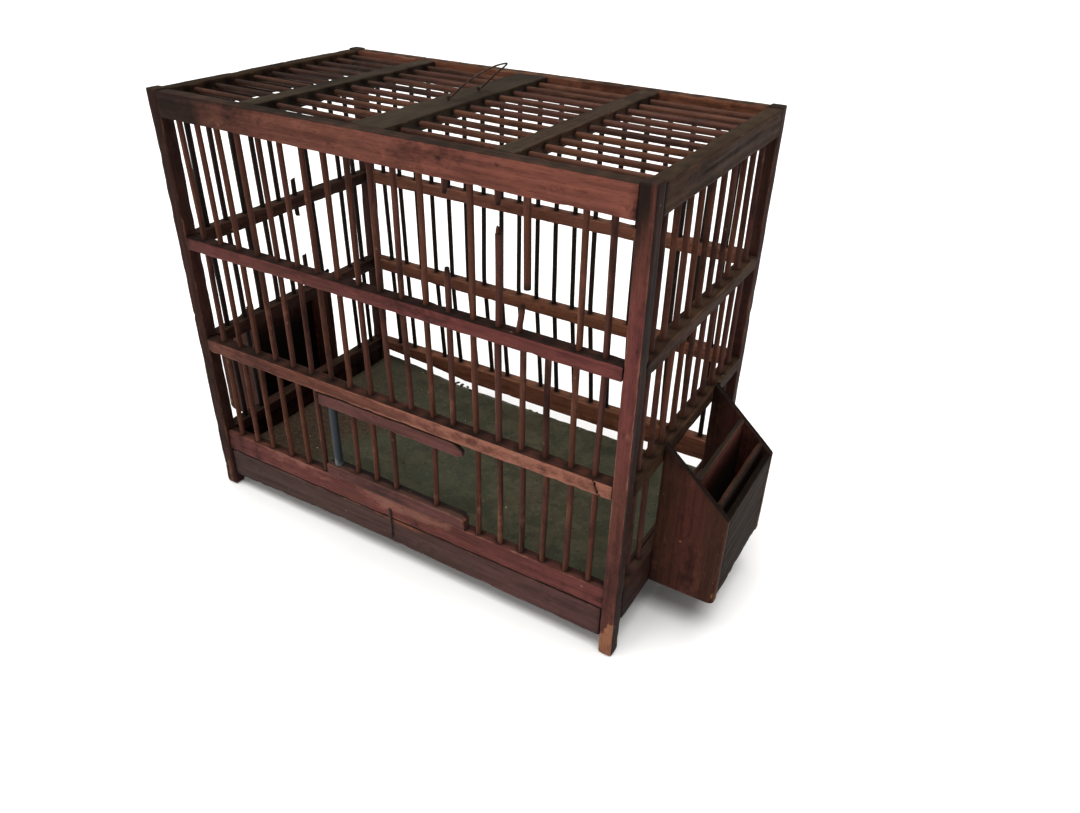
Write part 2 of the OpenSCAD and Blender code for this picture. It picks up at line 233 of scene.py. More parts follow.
def board(lo, hi, axis=0, r=1.1, seed=None, step=5.0, du=6.0, rough=0.22, bow=0.25, worn=0.6, chips=4, end_r=0.7,
          tone=None, warp=None, dust=0.6, ends=0.5, bars=(), extra=(), dents=0.0, bow_keep=(1, 1, 1)):
    """One sawn board. axis is the way its grain runs. bars are places (3-D points) where a bar goes into it."""
    if seed is None:
        SEED[0] += 1
        seed = SEED[0]
    rs = np.random.RandomState(seed)
    lo, hi = np.array(lo, float), np.array(hi, float)
    ua, va = (axis + 1) % 3, (axis + 2) % 3
    a, b = (hi[ua] - lo[ua]) / 2, (hi[va] - lo[va]) / 2
    r = min(r, a * 0.7, b * 0.7)
    ring, counts = section(a, b, r, du)
    m = len(ring)
    length = hi[axis] - lo[axis]
    er = min(end_r, length * 0.2)
    mid = np.linspace(er, length - er, max(2, int(round((length - 2 * er) / step)) + 1))
    ts = np.concatenate([[0, er * 0.3], mid, [length - er * 0.3, length]])
    if len(extra):
        ts = np.unique(np.concatenate([ts, np.clip(np.array(extra) - lo[axis], er, length - er)]))
        keep = np.concatenate([[True], np.diff(ts) > 0.12])
        ts = ts[keep]
    k = len(ts)
    d_end = np.minimum(ts, length - ts)
    inset = np.where(d_end < er, er - np.sqrt(np.maximum(0, er ** 2 - (er - np.minimum(d_end, er)) ** 2)), 0.0)
    cu, cv = (lo[ua] + hi[ua]) / 2, (lo[va] + hi[va]) / 2
    P = np.zeros((k, m, 3))
    N = np.zeros((k, m, 3))
    P[:, :, axis] = (lo[axis] + ts)[:, None]
    P[:, :, ua] = cu + ring[None, :, 0]
    P[:, :, va] = cv + ring[None, :, 1]
    N[:, :, ua] = ring[None, :, 2]
    N[:, :, va] = ring[None, :, 3]
    edge = np.repeat(ring[None, :, 4], k, 0)
    flat = P.reshape(-1, 3)
    e = edge.ravel()
    along = np.zeros(3)
    along[axis] = 1
    stretch = np.array([9.0, 9.0, 9.0])
    stretch[axis] = 34.0
    d = rough * (0.5 + 0.5 * vnoise(flat, stretch, seed)) + 0.45 * rough * (0.5 + 0.5 * vnoise(flat, stretch * 0.36, seed + 1))
    wearn = np.maximum(0, vnoise(flat, 17, seed + 2) + 0.1)
    d += e * worn * (0.25 + 1.1 * wearn)
    if dents:
        d += dents * np.maximum(0, vnoise(flat, 11, seed + 5) - 0.45) * 2
    chip = np.zeros(len(flat))
    for _ in range(chips):
        t0 = lo[axis] + rs.uniform(0, length)
        corner = rs.randint(4)
        j = sum(counts[:corner])
        c = P[0, j]
        dist = np.abs(flat[:, ua] - c[ua]) + np.abs(flat[:, va] - c[va])
        w = rs.uniform(2.0, 8.0)
        amt = rs.uniform(0.4, 1.3) * np.exp(-((flat[:, axis] - t0) / w) ** 2) * np.exp(-(dist / 3.0) ** 2)
        chip += amt
    d += chip
    d = d + np.repeat(inset, m)
    flat_n = N.reshape(-1, 3)
    Q = flat - flat_n * d[:, None]
    # long slow bow, none of it along the grain
    tt = np.repeat(ts, m)
    for ax, sd in ((ua, 11), (va, 12)):
        Q[:, ax] += bow * bow_keep[ax] * n1(tt, 160, seed + sd)
    # masks
    A = np.zeros((len(flat), 4))
    C = np.zeros((len(flat), 4))
    A[:, 0] = np.clip(e * (0.35 + 0.5 * worn + 0.5 * vnoise(flat, 21, seed + 3)), 0, 1) + np.clip(chip, 0, 1)
    de = np.repeat(d_end, m)
    A[:, 1] = ends * np.exp(-de / 7.0) * (0.8 + 0.4 * vnoise(flat, 6, seed + 4))
    for c in bars:
        c = np.array(c, float)
        perp = [x for x in range(3) if abs(c[x]) < 1e8]
        dd = np.sqrt(sum((flat[:, x] - c[x]) ** 2 for x in perp))
        A[:, 1] = np.maximum(A[:, 1], 0.75 * np.exp(-np.maximum(0, dd - 3.0) / 3.0))
    A[:, 2] = dust * np.clip(flat_n[:, 2], 0, 1) ** 1.5
    A[:, 3] = np.clip(0.5 + 0.28 * n1(tt, 130, seed + 8) + rs.uniform(-0.2, 0.2), 0, 1)
    off = rs.uniform(35, 90, 3) * np.where(rs.rand(3) < 0.5, -1, 1)
    G = np.zeros((len(flat), 3))
    G[:, 0] = flat[:, axis] + rs.uniform(0, 4000)
    G[:, 1] = flat[:, ua] - cu + off[1]
    G[:, 2] = flat[:, va] - cv + off[2]
    # side quads
    i, j = np.meshgrid(np.arange(k - 1), np.arange(m), indexing="ij")
    j2 = (j + 1) % m
    q = np.stack([i * m + j, i * m + j2, (i + 1) * m + j2, (i + 1) * m + j], -1).reshape(-1, 4)
    parts_v, parts_q = [Q], [q]
    parts_g, parts_a, parts_c, parts_p, parts_n = [G], [A], [C], [flat], [flat_n]
    base = len(Q)
    for which in (0, 1):
        row = 0 if which == 0 else k - 1
        rx = Q[row * m:(row + 1) * m]
        new, quads, src = cap_grid(counts, 0, rx, flip=(which == 0))
        ids = np.concatenate([np.arange(m) + row * m, base + np.arange(len(new))]).astype(int)
        parts_q.append(ids[quads])
        if len(new):
            src = np.array(src) + row * m
            new = new.copy()
            new[:, axis] += (0.18 if which == 0 else -0.18) * (0.5 + 0.5 * vnoise(new, 4.0, seed + 9))
            parts_v.append(new)
            g = G[src].copy()
            g[:, 1] = new[:, ua] - cu + off[1]
            g[:, 2] = new[:, va] - cv + off[2]
            parts_g.append(g)
            aa = A[src].copy()
            aa[:, 0] *= 0.4
            nn = np.zeros((len(new), 3))
            nn[:, axis] = -1 if which == 0 else 1
            aa[:, 2] = dust * np.clip(nn[:, 2], 0, 1)
            parts_a.append(aa)
            parts_c.append(C[src].copy())
            parts_p.append(new.copy())
            parts_n.append(nn)
            base += len(new)
    V, QF = np.concatenate(parts_v), np.concatenate(parts_q)
    G, A, C = np.concatenate(parts_g), np.concatenate(parts_a), np.concatenate(parts_c)
    PP, NN = np.concatenate(parts_p), np.concatenate(parts_n)
    if warp is not None:
        V = warp(V.copy(), NN)
    if tone is not None:
        tone(PP, NN, A, C)
    return V, QF, np.zeros((0, 3), np.int64), G, np.clip(A, 0, 1), np.clip(C, 0, 1)


def frames(path):
    """Tangents and turning-free side vectors along a path."""
    path = np.asarray(path, float)
    tan = np.gradient(path, axis=0)
    tan /= np.linalg.norm(tan, axis=1)[:, None]
    ref = np.array([0, 0, 1.0]) if abs(tan[0][2]) < 0.9 else np.array([1.0, 0, 0])
    u = np.cross(tan[0], ref)
    u /= np.linalg.norm(u)
    us = [u]
    for i in range(1, len(path)):
        u = us[-1] - tan[i] * np.dot(us[-1], tan[i])
        us.append(u / np.linalg.norm(u))
    us = np.array(us)
    return tan, us, np.cross(tan, us)


def tube(path, dia, sides=12, seed=1, lump=0.04, square=0.0, ends=("round", "round"), knots=(), tone=None, dust=0.5, raw=0.0, flat_end=0.6):
    """A bar or wire along a path. dia is a number or one value per point of the path."""
    path = np.asarray(path, float)
    rs = np.random.RandomState(seed)
    k = len(path)
    tan, us, vs = frames(path)
    s = np.concatenate([[0], np.cumsum(np.linalg.norm(np.diff(path, axis=0), axis=1))])
    rad = np.broadcast_to(np.asarray(dia, float) / 2, (k,)).copy()
    th = np.arange(sides) / sides * 2 * math.pi
    rot = rs.uniform(0, 1.5)
    V = np.zeros((k, sides, 3))
    R = np.zeros((k, sides))
    ss = np.repeat(s, sides)
    tt = np.tile(th, k)
    ns = np.stack([ss, np.cos(tt) * rad.max() * 2.2, np.sin(tt) * rad.max() * 2.2], 1)
    lumps = vnoise(ns, np.array([26.0, 5.0, 5.0]), seed).reshape(k, sides)
    fine = vnoise(ns, np.array([7.0, 2.2, 2.2]), seed + 1).reshape(k, sides)
    shape = 1 - square * (0.5 + 0.5 * np.cos(4 * (th - rot)))
    R = rad[:, None] * shape[None, :] * (1 - lump * (0.5 + 0.5 * lumps) - 0.35 * lump * (0.5 + 0.5 * fine))
    for (pos, ang, size) in knots:
        g = np.exp(-((s - pos) / 4.0) ** 2)[:, None] * np.exp(-(((th - ang + math.pi) % (2 * math.pi) - math.pi) / 0.8) ** 2)[None, :]
        R = R * (1 + size * g)
    axial = np.zeros((k, sides))
    for which, kind in ((0, ends[0]), (k - 1, ends[1])):
        sgn = 1 if which == 0 else -1
        if kind == "broken":
            ang = rs.uniform(0, 2 * math.pi)
            ramp = 0.5 + 0.5 * np.cos(th - ang)
            jag = rs.uniform(0, 1, sides)
            reach = np.exp(-np.abs(s - s[which]) / 2.5)
            axial += sgn * reach[:, None] * (ramp * 4.5 + jag * 2.6)[None, :]
            R = R * (1 - 0.35 * reach[:, None] * ramp[None, :])
        elif kind == "round":
            dd = np.abs(s - s[which])
            er = rad[which] * 0.35
            R = R * (1 - 0.3 * np.clip(1 - dd / er, 0, 1) ** 2)[:, None]
    V = path[:, None, :] + us[:, None, :] * (R * np.cos(th)[None, :])[:, :, None] + vs[:, None, :] * (R * np.sin(th)[None, :])[:, :, None] + tan[:, None, :] * axial[:, :, None]
    Nn = us[:, None, :] * np.cos(th)[None, :, None] + vs[:, None, :] * np.sin(th)[None, :, None]
    V = V.reshape(-1, 3)
    Nn = Nn.reshape(-1, 3)
    i, j = np.meshgrid(np.arange(k - 1), np.arange(sides), indexing="ij")
    j2 = (j + 1) % sides
    q = np.stack([i * sides + j, i * sides + j2, (i + 1) * sides + j2, (i + 1) * sides + j], -1).reshape(-1, 4)
    tris = []
    cap = []
    for which in (0, k - 1):
        ringv = V[which * sides:(which + 1) * sides]
        c = ringv.mean(0) + tan[which] * (0.25 if which == 0 else -0.25)
        ci = len(V) + len(cap)
        cap.append(c)
        for jj in range(sides):
            a0, a1 = which * sides + jj, which * sides + (jj + 1) % sides
            tris.append([ci, a1, a0] if which == 0 else [ci, a0, a1])
    V = np.concatenate([V, np.array(cap)])
    Nn = np.concatenate([Nn, [-tan[0], tan[-1]]])
    A = np.zeros((len(V), 4))
    C = np.zeros((len(V), 4))
    A[:-2, 0] = np.clip(0.25 + 0.55 * vnoise(ns, np.array([38.0, 9.0, 9.0]), seed + 2), 0, 1) * 0.8
    dend = np.minimum(ss, s[-1] - ss)
    A[:-2, 1] = 0.35 * np.exp(-dend / 6.0) + 0.25 * np.clip(vnoise(ns, np.array([60.0, 9.0, 9.0]), seed + 3), 0, 1)
    A[:, 2] = dust * np.clip(Nn[:, 2], 0, 1)
    A[:, 3] = np.clip(0.5 + rs.uniform(-0.32, 0.32), 0, 1)
    C[:, 0] = raw
    for w, kind in ((0, ends[0]), (1, ends[1])):
        if kind == "broken":
            dd = ss if w == 0 else s[-1] - ss
            C[:-2, 0] = np.maximum(C[:-2, 0], 0.7 * np.exp(-dd / 3.0))
            C[len(V) - 2 + w, 0] = 0.8
    for (pos, ang, size) in knots:
        dang = ((tt - ang + math.pi) % (2 * math.pi)) - math.pi
        C[:-2, 0] = np.maximum(C[:-2, 0], 0.55 * np.exp(-((ss - pos) / 5.0) ** 2) * np.exp(-(dang / 1.1) ** 2))
    G = np.zeros((len(V), 3))
    o1, o2, o3 = rs.uniform(0, 5000), rs.uniform(-40, 40), rs.uniform(-40, 40)
    G[:-2, 0] = ss + o1
    G[:-2, 1] = np.cos(tt) * rad.max() + o2
    G[:-2, 2] = np.sin(tt) * rad.max() + o3
    G[-2:, 0] = [o1, s[-1] + o1]
    G[-2:, 1] = o2
    G[-2:, 2] = o3
    if tone is not None:
        tone(V, Nn, A, C)
    return V, q, np.array(tris), G, np.clip(A, 0, 1), np.clip(C, 0, 1)


def rod(p0, p1, d=7.0, seed=1, bow=0.7, step=9.0, sides=12, ends=("flat", "flat"), knots=None, tone=None, lean=(0, 0), square=0.05, raw=0.0, thin=0.04, shift=None):
    """A whittled bar from p0 to p1 that bends a little on the way."""
    rs = np.random.RandomState(seed + 7000)
    p0, p1 = np.array(p0, float), np.array(p1, float)
    length = np.linalg.norm(p1 - p0)
    k = max(6, int(round(length / step)) + 1)
    t = np.linspace(0, 1, k)
    if "broken" in ends:
        extra = np.array([0.6, 1.4, 2.6, 4.2]) / length
        t = np.unique(np.concatenate([t, extra if ends[0] == "broken" else [], 1 - extra if ends[1] == "broken" else []]))
    path = p0[None, :] * (1 - t)[:, None] + p1[None, :] * t[:, None]
    w = np.sin(math.pi * t) ** 0.8
    ax = int(np.argmax(np.abs(p1 - p0)))
    ua, va = (ax + 1) % 3, (ax + 2) % 3
    path[:, ua] += bow * w * (n1(t * length, 120, seed + 1) + 0.4 * rs.uniform(-1, 1)) + lean[0] * t
    path[:, va] += bow * w * (n1(t * length, 120, seed + 2) + 0.4 * rs.uniform(-1, 1)) + lean[1] * t
    if shift is not None:
        z = path[:, 2].copy()
        path[:, 0] += shift[0](z)
        path[:, 1] += shift[1](z)
    dia = d * (1 - thin * (0.5 + 0.5 * n1(t * length, 70, seed + 3))) * (1 - rs.uniform(0, 0.03))
    if knots is None:
        knots = [(rs.uniform(0.08, 0.92) * length, rs.uniform(0, 6.28), rs.uniform(0.03, 0.09)) for _ in range(rs.randint(0, 3))]
    return tube(path, dia, sides=sides, seed=seed, square=square, ends=ends, knots=knots, tone=tone, raw=raw)


def nail(c, n, d=2.8, seed=1, rise=0.25):
    """A small old nail head at c that faces along n."""
    rs = np.random.RandomState(seed)
    c, n = np.array(c, float), np.array(n, float)
    n /= np.linalg.norm(n)
    ref = np.array([0, 0, 1.0]) if abs(n[2]) < 0.9 else np.array([1.0, 0, 0])
    u = np.cross(n, ref)
    u /= np.linalg.norm(u)
    v = np.cross(n, u)
    sides = 14
    th = np.arange(sides) / sides * 2 * math.pi
    rows = [(1.0, -0.9), (1.0, 0.0), (0.93, rise * 0.75), (0.6, rise), (0.25, rise * 0.9)]
    rr = d / 2 * (1 + 0.08 * rs.uniform(-1, 1, sides))
    V = []
    for f, h in rows:
        V.append(c + np.outer(rr * f * np.cos(th), u) + np.outer(rr * f * np.sin(th), v) + n * h)
    V = np.concatenate(V + [[c + n * rise * 0.85], [c - n * 0.9]])
    i, j = np.meshgrid(np.arange(len(rows) - 1), np.arange(sides), indexing="ij")
    j2 = (j + 1) % sides
    q = np.stack([i * sides + j, i * sides + j2, (i + 1) * sides + j2, (i + 1) * sides + j], -1).reshape(-1, 4)
    last = (len(rows) - 1) * sides
    t = np.array([[len(V) - 2, last + x, last + (x + 1) % sides] for x in range(sides)] + [[len(V) - 1, (x + 1) % sides, x] for x in range(sides)])
    A = np.zeros((len(V), 4))
    A[:, 3] = rs.rand()
    C = np.zeros((len(V), 4))
    G = V * 1.0 + rs.uniform(0, 500)
    return V, q, t, G, A, C


def blob(c, size, seed=1, flat=0.5, sides=7, rows=4):
    """A small irregular lump that rests with its middle at c."""
    rs = np.random.RandomState(seed)
    c = np.array(c, float)
    size = np.array(size, float) / 2
    ph = np.linspace(0, math.pi, rows + 1)[1:-1]
    th = np.arange(sides) / sides * 2 * math.pi
    V = [c + [0, 0, size[2]]]
    for p in ph:
        w = 1 + 0.25 * rs.uniform(-1, 1, sides)
        V.extend(c + np.stack([size[0] * math.sin(p) * np.cos(th) * w, size[1] * math.sin(p) * np.sin(th) * w, np.full(sides, size[2] * math.cos(p))], 1))
    V.append(c - [0, 0, size[2]])
    V = np.array(V)
    a = rs.uniform(0, math.pi)
    rot = np.array([[math.cos(a), -math.sin(a), 0], [math.sin(a), math.cos(a), 0], [0, 0, 1]])
    V = (V - c) @ rot.T + c
    q, t = [], []
    nr = len(ph)
    for x in range(sides):
        x2 = (x + 1) % sides
        t.append([0, 1 + x, 1 + x2])
        for i in range(nr - 1):
            q.append([1 + i * sides + x, 1 + (i + 1) * sides + x, 1 + (i + 1) * sides + x2, 1 + i * sides + x2])
        t.append([1 + (nr - 1) * sides + x, len(V) - 1, 1 + (nr - 1) * sides + x2])
    A = np.zeros((len(V), 4))
    A[:, 3] = rs.rand()
    C = np.zeros((len(V), 4))
    return V, np.array(q).reshape(-1, 4), np.array(t), V * 1.0 + rs.uniform(0, 500), A, C


# ---------------------------------------------------------------- materials

def lin(r, g, b):
    out = []
    for c in (r, g, b):
        c /= 255
        out.append(c / 12.92 if c <= 0.04045 else ((c + 0.055) / 1.055) ** 2.4)
    return (*out, 1.0)


class Nodes:
    def __init__(self, name):
        self.mat = bpy.data.materials.new(name)
        self.mat.use_nodes = True
        self.t = self.mat.node_tree
        self.t.nodes.clear()
        self.cache = {}

    def new(self, kind, **kw):
        n = self.t.nodes.new(kind)
        for k, v in kw.items():
            setattr(n, k, v)
        return n

    def put(self, sock, x):
        if isinstance(x, bpy.types.NodeSocket):
            self.t.links.new(x, sock)
        elif x is not None:
            sock.default_value = x

    def attr(self, name):
        if name not in self.cache:
            self.cache[name] = self.new("ShaderNodeAttribute", attribute_name=name)
        return self.cache[name]

    def split(self, name):
        key = name + "/rgb"
        if key not in self.cache:
            s = self.new("ShaderNodeSeparateColor")
            self.put(s.inputs[0], self.attr(name).outputs["Color"])
            self.cache[key] = (s.outputs[0], s.outputs[1], s.outputs[2], self.attr(name).outputs["Alpha"])
        return self.cache[key]

    def scaled(self, vec, s):
        n = self.new("ShaderNodeVectorMath", operation="MULTIPLY")
        self.put(n.inputs[0], vec)
        n.inputs[1].default_value = s
        return n.outputs[0]

    def shifted(self, vec, s):
        n = self.new("ShaderNodeVectorMath", operation="ADD")
        self.put(n.inputs[0], vec)
        self.put(n.inputs[1], s)
        return n.outputs[0]

    def noise(self, vec, scale=1.0, detail=3.0, rough=0.55, distort=0.0, color=False):
        n = self.new("ShaderNodeTexNoise")
        self.put(n.inputs["Vector"], vec)
        n.inputs["Scale"].default_value = scale
        n.inputs["Detail"].default_value = detail
        n.inputs["Roughness"].default_value = rough
        n.inputs["Distortion"].default_value = distort
        return n.outputs["Color" if color else 0]

    def voronoi(self, vec, scale=1.0, feature="F1", rand=1.0):
        n = self.new("ShaderNodeTexVoronoi", feature=feature)
        self.put(n.inputs["Vector"], vec)
        n.inputs["Scale"].default_value = scale
        n.inputs["Randomness"].default_value = rand
        return n

    def math(self, op, a, b=None, clamp=False):
        n = self.new("ShaderNodeMath", operation=op, use_clamp=clamp)
        self.put(n.inputs[0], a)
        if b is not None:
            self.put(n.inputs[1], b)
        return n.outputs[0]

    def range(self, x, a, b, c=0.0, d=1.0, kind="SMOOTHSTEP"):
        n = self.new("ShaderNodeMapRange", interpolation_type=kind)
        self.put(n.inputs["Value"], x)
        n.inputs["From Min"].default_value = a
        n.inputs["From Max"].default_value = b
        n.inputs["To Min"].default_value = c
        n.inputs["To Max"].default_value = d
        return n.outputs[0]

    def mix(self, f, a, b, blend="MIX"):
        n = self.new("ShaderNodeMix", data_type="RGBA", blend_type=blend)
        n.clamp_factor = True
        self.put(n.inputs[0], f)
        self.put(n.inputs[6], a)
        self.put(n.inputs[7], b)
        return n.outputs[2]

    def finish(self, color, rough, height, bump=0.5, distance=0.0005, spec=0.25, metal=0.0):
        p = self.new("ShaderNodeBsdfPrincipled")
        self.put(p.inputs["Base Color"], color)
        self.put(p.inputs["Roughness"], rough)
        p.inputs["Specular IOR Level"].default_value = spec
        p.inputs["Metallic"].default_value = metal
        if height is not None:
            bm = self.new("ShaderNodeBump")
            bm.inputs["Strength"].default_value = bump
            bm.inputs["Distance"].default_value = distance
            self.put(bm.inputs["Height"], height)
            self.t.links.new(bm.outputs[0], p.inputs["Normal"])
        o = self.new("ShaderNodeOutputMaterial")
        self.t.links.new(p.outputs[0], o.inputs[0])
        return self.mat


def wood(name, dark, mid, light, worn=(138, 92, 70), raw=(156, 102, 70), red=(106, 54, 44), dust=(66, 57, 46), grime_and_shade=(17, 12, 9),
         wear=1.0, fleck=0.35, spec=0.13, rough=(0.55, 0.86), bump=0.6, ring=0.2, contrast=1.0, stain=1.0):
    """Old sawn wood: fibres along the grain, growth rings, stains, pores, rubbed edges, bare patches, dirt and painted
    shade in the corners and dust on top.
    """
    s = Nodes(name)
    g = s.attr("gco").outputs["Vector"]
    mw, mg, md, mt = s.split("ma")
    cr, cred, csoot, cpaint = s.split("mb")
    fib = s.noise(s.scaled(g, (7, 150, 150)), detail=6, rough=0.66, distort=0.15)
    fine = s.noise(s.scaled(g, (34, 800, 800)), detail=3, rough=0.6)
    blot = s.noise(s.scaled(g, (8, 20, 20)), detail=4, rough=0.6, distort=0.4)
    patch = s.noise(s.scaled(g, (24, 60, 60)), detail=5, rough=0.66, distort=0.5)
    spot = s.noise(s.scaled(g, (90, 130, 130)), detail=5, rough=0.68)
    pore = s.range(s.noise(s.scaled(g, (95, 1500, 1500)), detail=2, rough=0.5), 0.60, 0.72)
    w = s.new("ShaderNodeTexWave", wave_type="RINGS", rings_direction="X")
    s.put(w.inputs["Vector"], s.scaled(g, (0.16, 1, 1)))
    w.inputs["Scale"].default_value = 62
    w.inputs["Distortion"].default_value = 7.5
    w.inputs["Detail"].default_value = 4
    w.inputs["Detail Scale"].default_value = 0.6
    w.inputs["Detail Roughness"].default_value = 0.65
    rings = w.outputs["Fac"]
    c = s.mix(s.math("MULTIPLY", s.range(fib, 0.40, 0.70), 0.62 * contrast), lin(*mid), lin(*dark))
    c = s.mix(s.math("MULTIPLY", s.math("MULTIPLY", s.range(rings, 0.45, 1.0), ring), s.range(blot, 0.35, 0.6, 0.2, 1.0)), c, lin(*dark))
    c = s.mix(s.math("MULTIPLY", s.range(fine, 0.5, 0.78), 0.30 * contrast), c, lin(*light))
    c = s.mix(s.math("MULTIPLY", s.range(patch, 0.50, 0.72), 0.38), c, lin(*light))
    # board to board difference, and slow change along a board
    hsv = s.new("ShaderNodeHueSaturation")
    s.put(hsv.inputs["Hue"], s.range(mt, 0, 1, 0.492, 0.51, "LINEAR"))
    s.put(hsv.inputs["Saturation"], s.range(mt, 0, 1, 0.92, 1.08, "LINEAR"))
    s.put(hsv.inputs["Value"], s.range(mt, 0, 1, 0.78, 1.24, "LINEAR"))
    s.put(hsv.inputs["Color"], c)
    c = hsv.outputs[0]
    # red stain that has kept its colour
    rm = s.range(s.math("ADD", cred, s.math("MULTIPLY", s.math("SUBTRACT", blot, 0.5), 1.1)), 0.10, 0.95)
    redc = s.mix(s.range(fib, 0.35, 0.75), lin(*red), lin(*[v * 0.72 for v in red]))
    redc = s.mix(s.math("MULTIPLY", s.range(patch, 0.45, 0.72), 0.5), redc, lin(*[min(255, v * 1.22) for v in red]))
    c = s.mix(s.math("MULTIPLY", rm, 0.85), c, redc)
    # bare wood
    raww = s.math("ADD", cr, s.math("MULTIPLY", s.math("SUBTRACT", spot, 0.5), 1.0))
    raww = s.math("ADD", raww, s.math("MULTIPLY", s.math("SUBTRACT", fib, 0.5), 0.8))
    rawm = s.range(raww, 0.30, 0.85)
    rawm = s.math("MULTIPLY", rawm, s.range(cr, 0.02, 0.25))
    rawc = s.mix(s.range(fib, 0.3, 0.75), lin(*raw), lin(*[v * 0.60 for v in raw]))
    rawc = s.mix(s.math("MULTIPLY", s.range(patch, 0.48, 0.7), 0.6), rawc, lin(*[v * 0.55 for v in raw]))
    c = s.mix(rawm, c, rawc)
    # rubbed edges; on the front bars this mask also carries a painted highlight on their -x sides
    ww = s.math("ADD", mw, s.math("MULTIPLY", s.math("SUBTRACT", spot, 0.5), 1.1))
    ww = s.math("ADD", ww, s.math("MULTIPLY", s.math("SUBTRACT", patch, 0.5), 1.0))
    wm = s.math("MULTIPLY", s.range(ww, 0.48, 1.05), 0.60 * wear)
    c = s.mix(wm, c, lin(*worn))
    # old stains and handling marks
    st = s.range(s.math("ADD", blot, s.math("MULTIPLY", s.math("SUBTRACT", spot, 0.5), 0.35)), 0.52, 0.72)
    c = s.mix(s.math("MULTIPLY", st, 0.62 * stain), c, lin(*[v * 0.62 for v in dark]))
    st2 = s.range(s.math("ADD", patch, s.math("MULTIPLY", s.math("SUBTRACT", spot, 0.5), 0.5)), 0.60, 0.74)
    c = s.mix(s.math("MULTIPLY", st2, 0.5 * stain), c, lin(*[v * 0.7 for v in dark]))
    # pores and drying checks
    c = s.mix(s.math("MULTIPLY", pore, 0.5), c, lin(*[v * 0.45 for v in dark]))
    # dirt and soot, and painted shade: the same dark mix darkens shaded side faces, undersides and hollows
    gg = s.math("ADD", mg, s.math("MULTIPLY", s.math("SUBTRACT", blot, 0.5), 0.7))
    gg = s.math("ADD", gg, s.math("MULTIPLY", s.math("SUBTRACT", spot, 0.5), 0.6))
    grime_shade_mix = s.math("MULTIPLY", s.range(gg, 0.15, 1.0), 0.9)
    c = s.mix(grime_shade_mix, c, lin(*grime_and_shade))
    so = s.range(s.math("ADD", csoot, s.math("MULTIPLY", s.math("SUBTRACT", spot, 0.5), s.math("MULTIPLY", csoot, 0.9))), 0.05, 0.95)
    c = s.mix(s.math("MULTIPLY", so, 0.93), c, lin(*[v * 0.8 for v in grime_and_shade]))
    # dust that lies on what faces up
    dd = s.math("ADD", md, s.math("MULTIPLY", s.math("SUBTRACT", spot, 0.5), 0.7))
    dd = s.math("ADD", dd, s.math("MULTIPLY", s.math("SUBTRACT", patch, 0.5), 0.6))
    dm = s.math("MULTIPLY", s.range(dd, 0.2, 0.95), 0.82)
    c = s.mix(dm, c, s.mix(s.range(blot, 0.35, 0.65), lin(*dust), lin(*[v * 0.66 for v in dust])))
    # pale flecks
    vo = s.voronoi(s.scaled(g, (60, 75, 75)))
    hit = s.range(vo.outputs["Distance"], 0.05, 0.13, 1.0, 0.0)
    sep = s.new("ShaderNodeSeparateColor")
    s.put(sep.inputs[0], vo.outputs["Color"])
    hit = s.math("MULTIPLY", hit, s.range(sep.outputs[0], 0.86, 0.9))
    c = s.mix(s.math("MULTIPLY", hit, fleck), c, lin(150, 122, 100))
    ro = s.range(fib, 0.3, 0.8, rough[0], rough[1], "LINEAR")
    ro = s.math("SUBTRACT", ro, s.math("MULTIPLY", wm, 0.12))
    ro = s.math("ADD", ro, s.math("MULTIPLY", dm, 0.18), clamp=True)
    h = s.math("MULTIPLY", fib, -0.55)
    h = s.math("ADD", h, s.math("MULTIPLY", fine, 0.30))
    h = s.math("ADD", h, s.math("MULTIPLY", pore, -0.55))
    h = s.math("ADD", h, s.math("MULTIPLY", spot, 0.32))
    h = s.math("ADD", h, s.math("MULTIPLY", rawm, -0.25))
    return s.finish(c, ro, h, bump=bump, distance=0.0006, spec=spec)


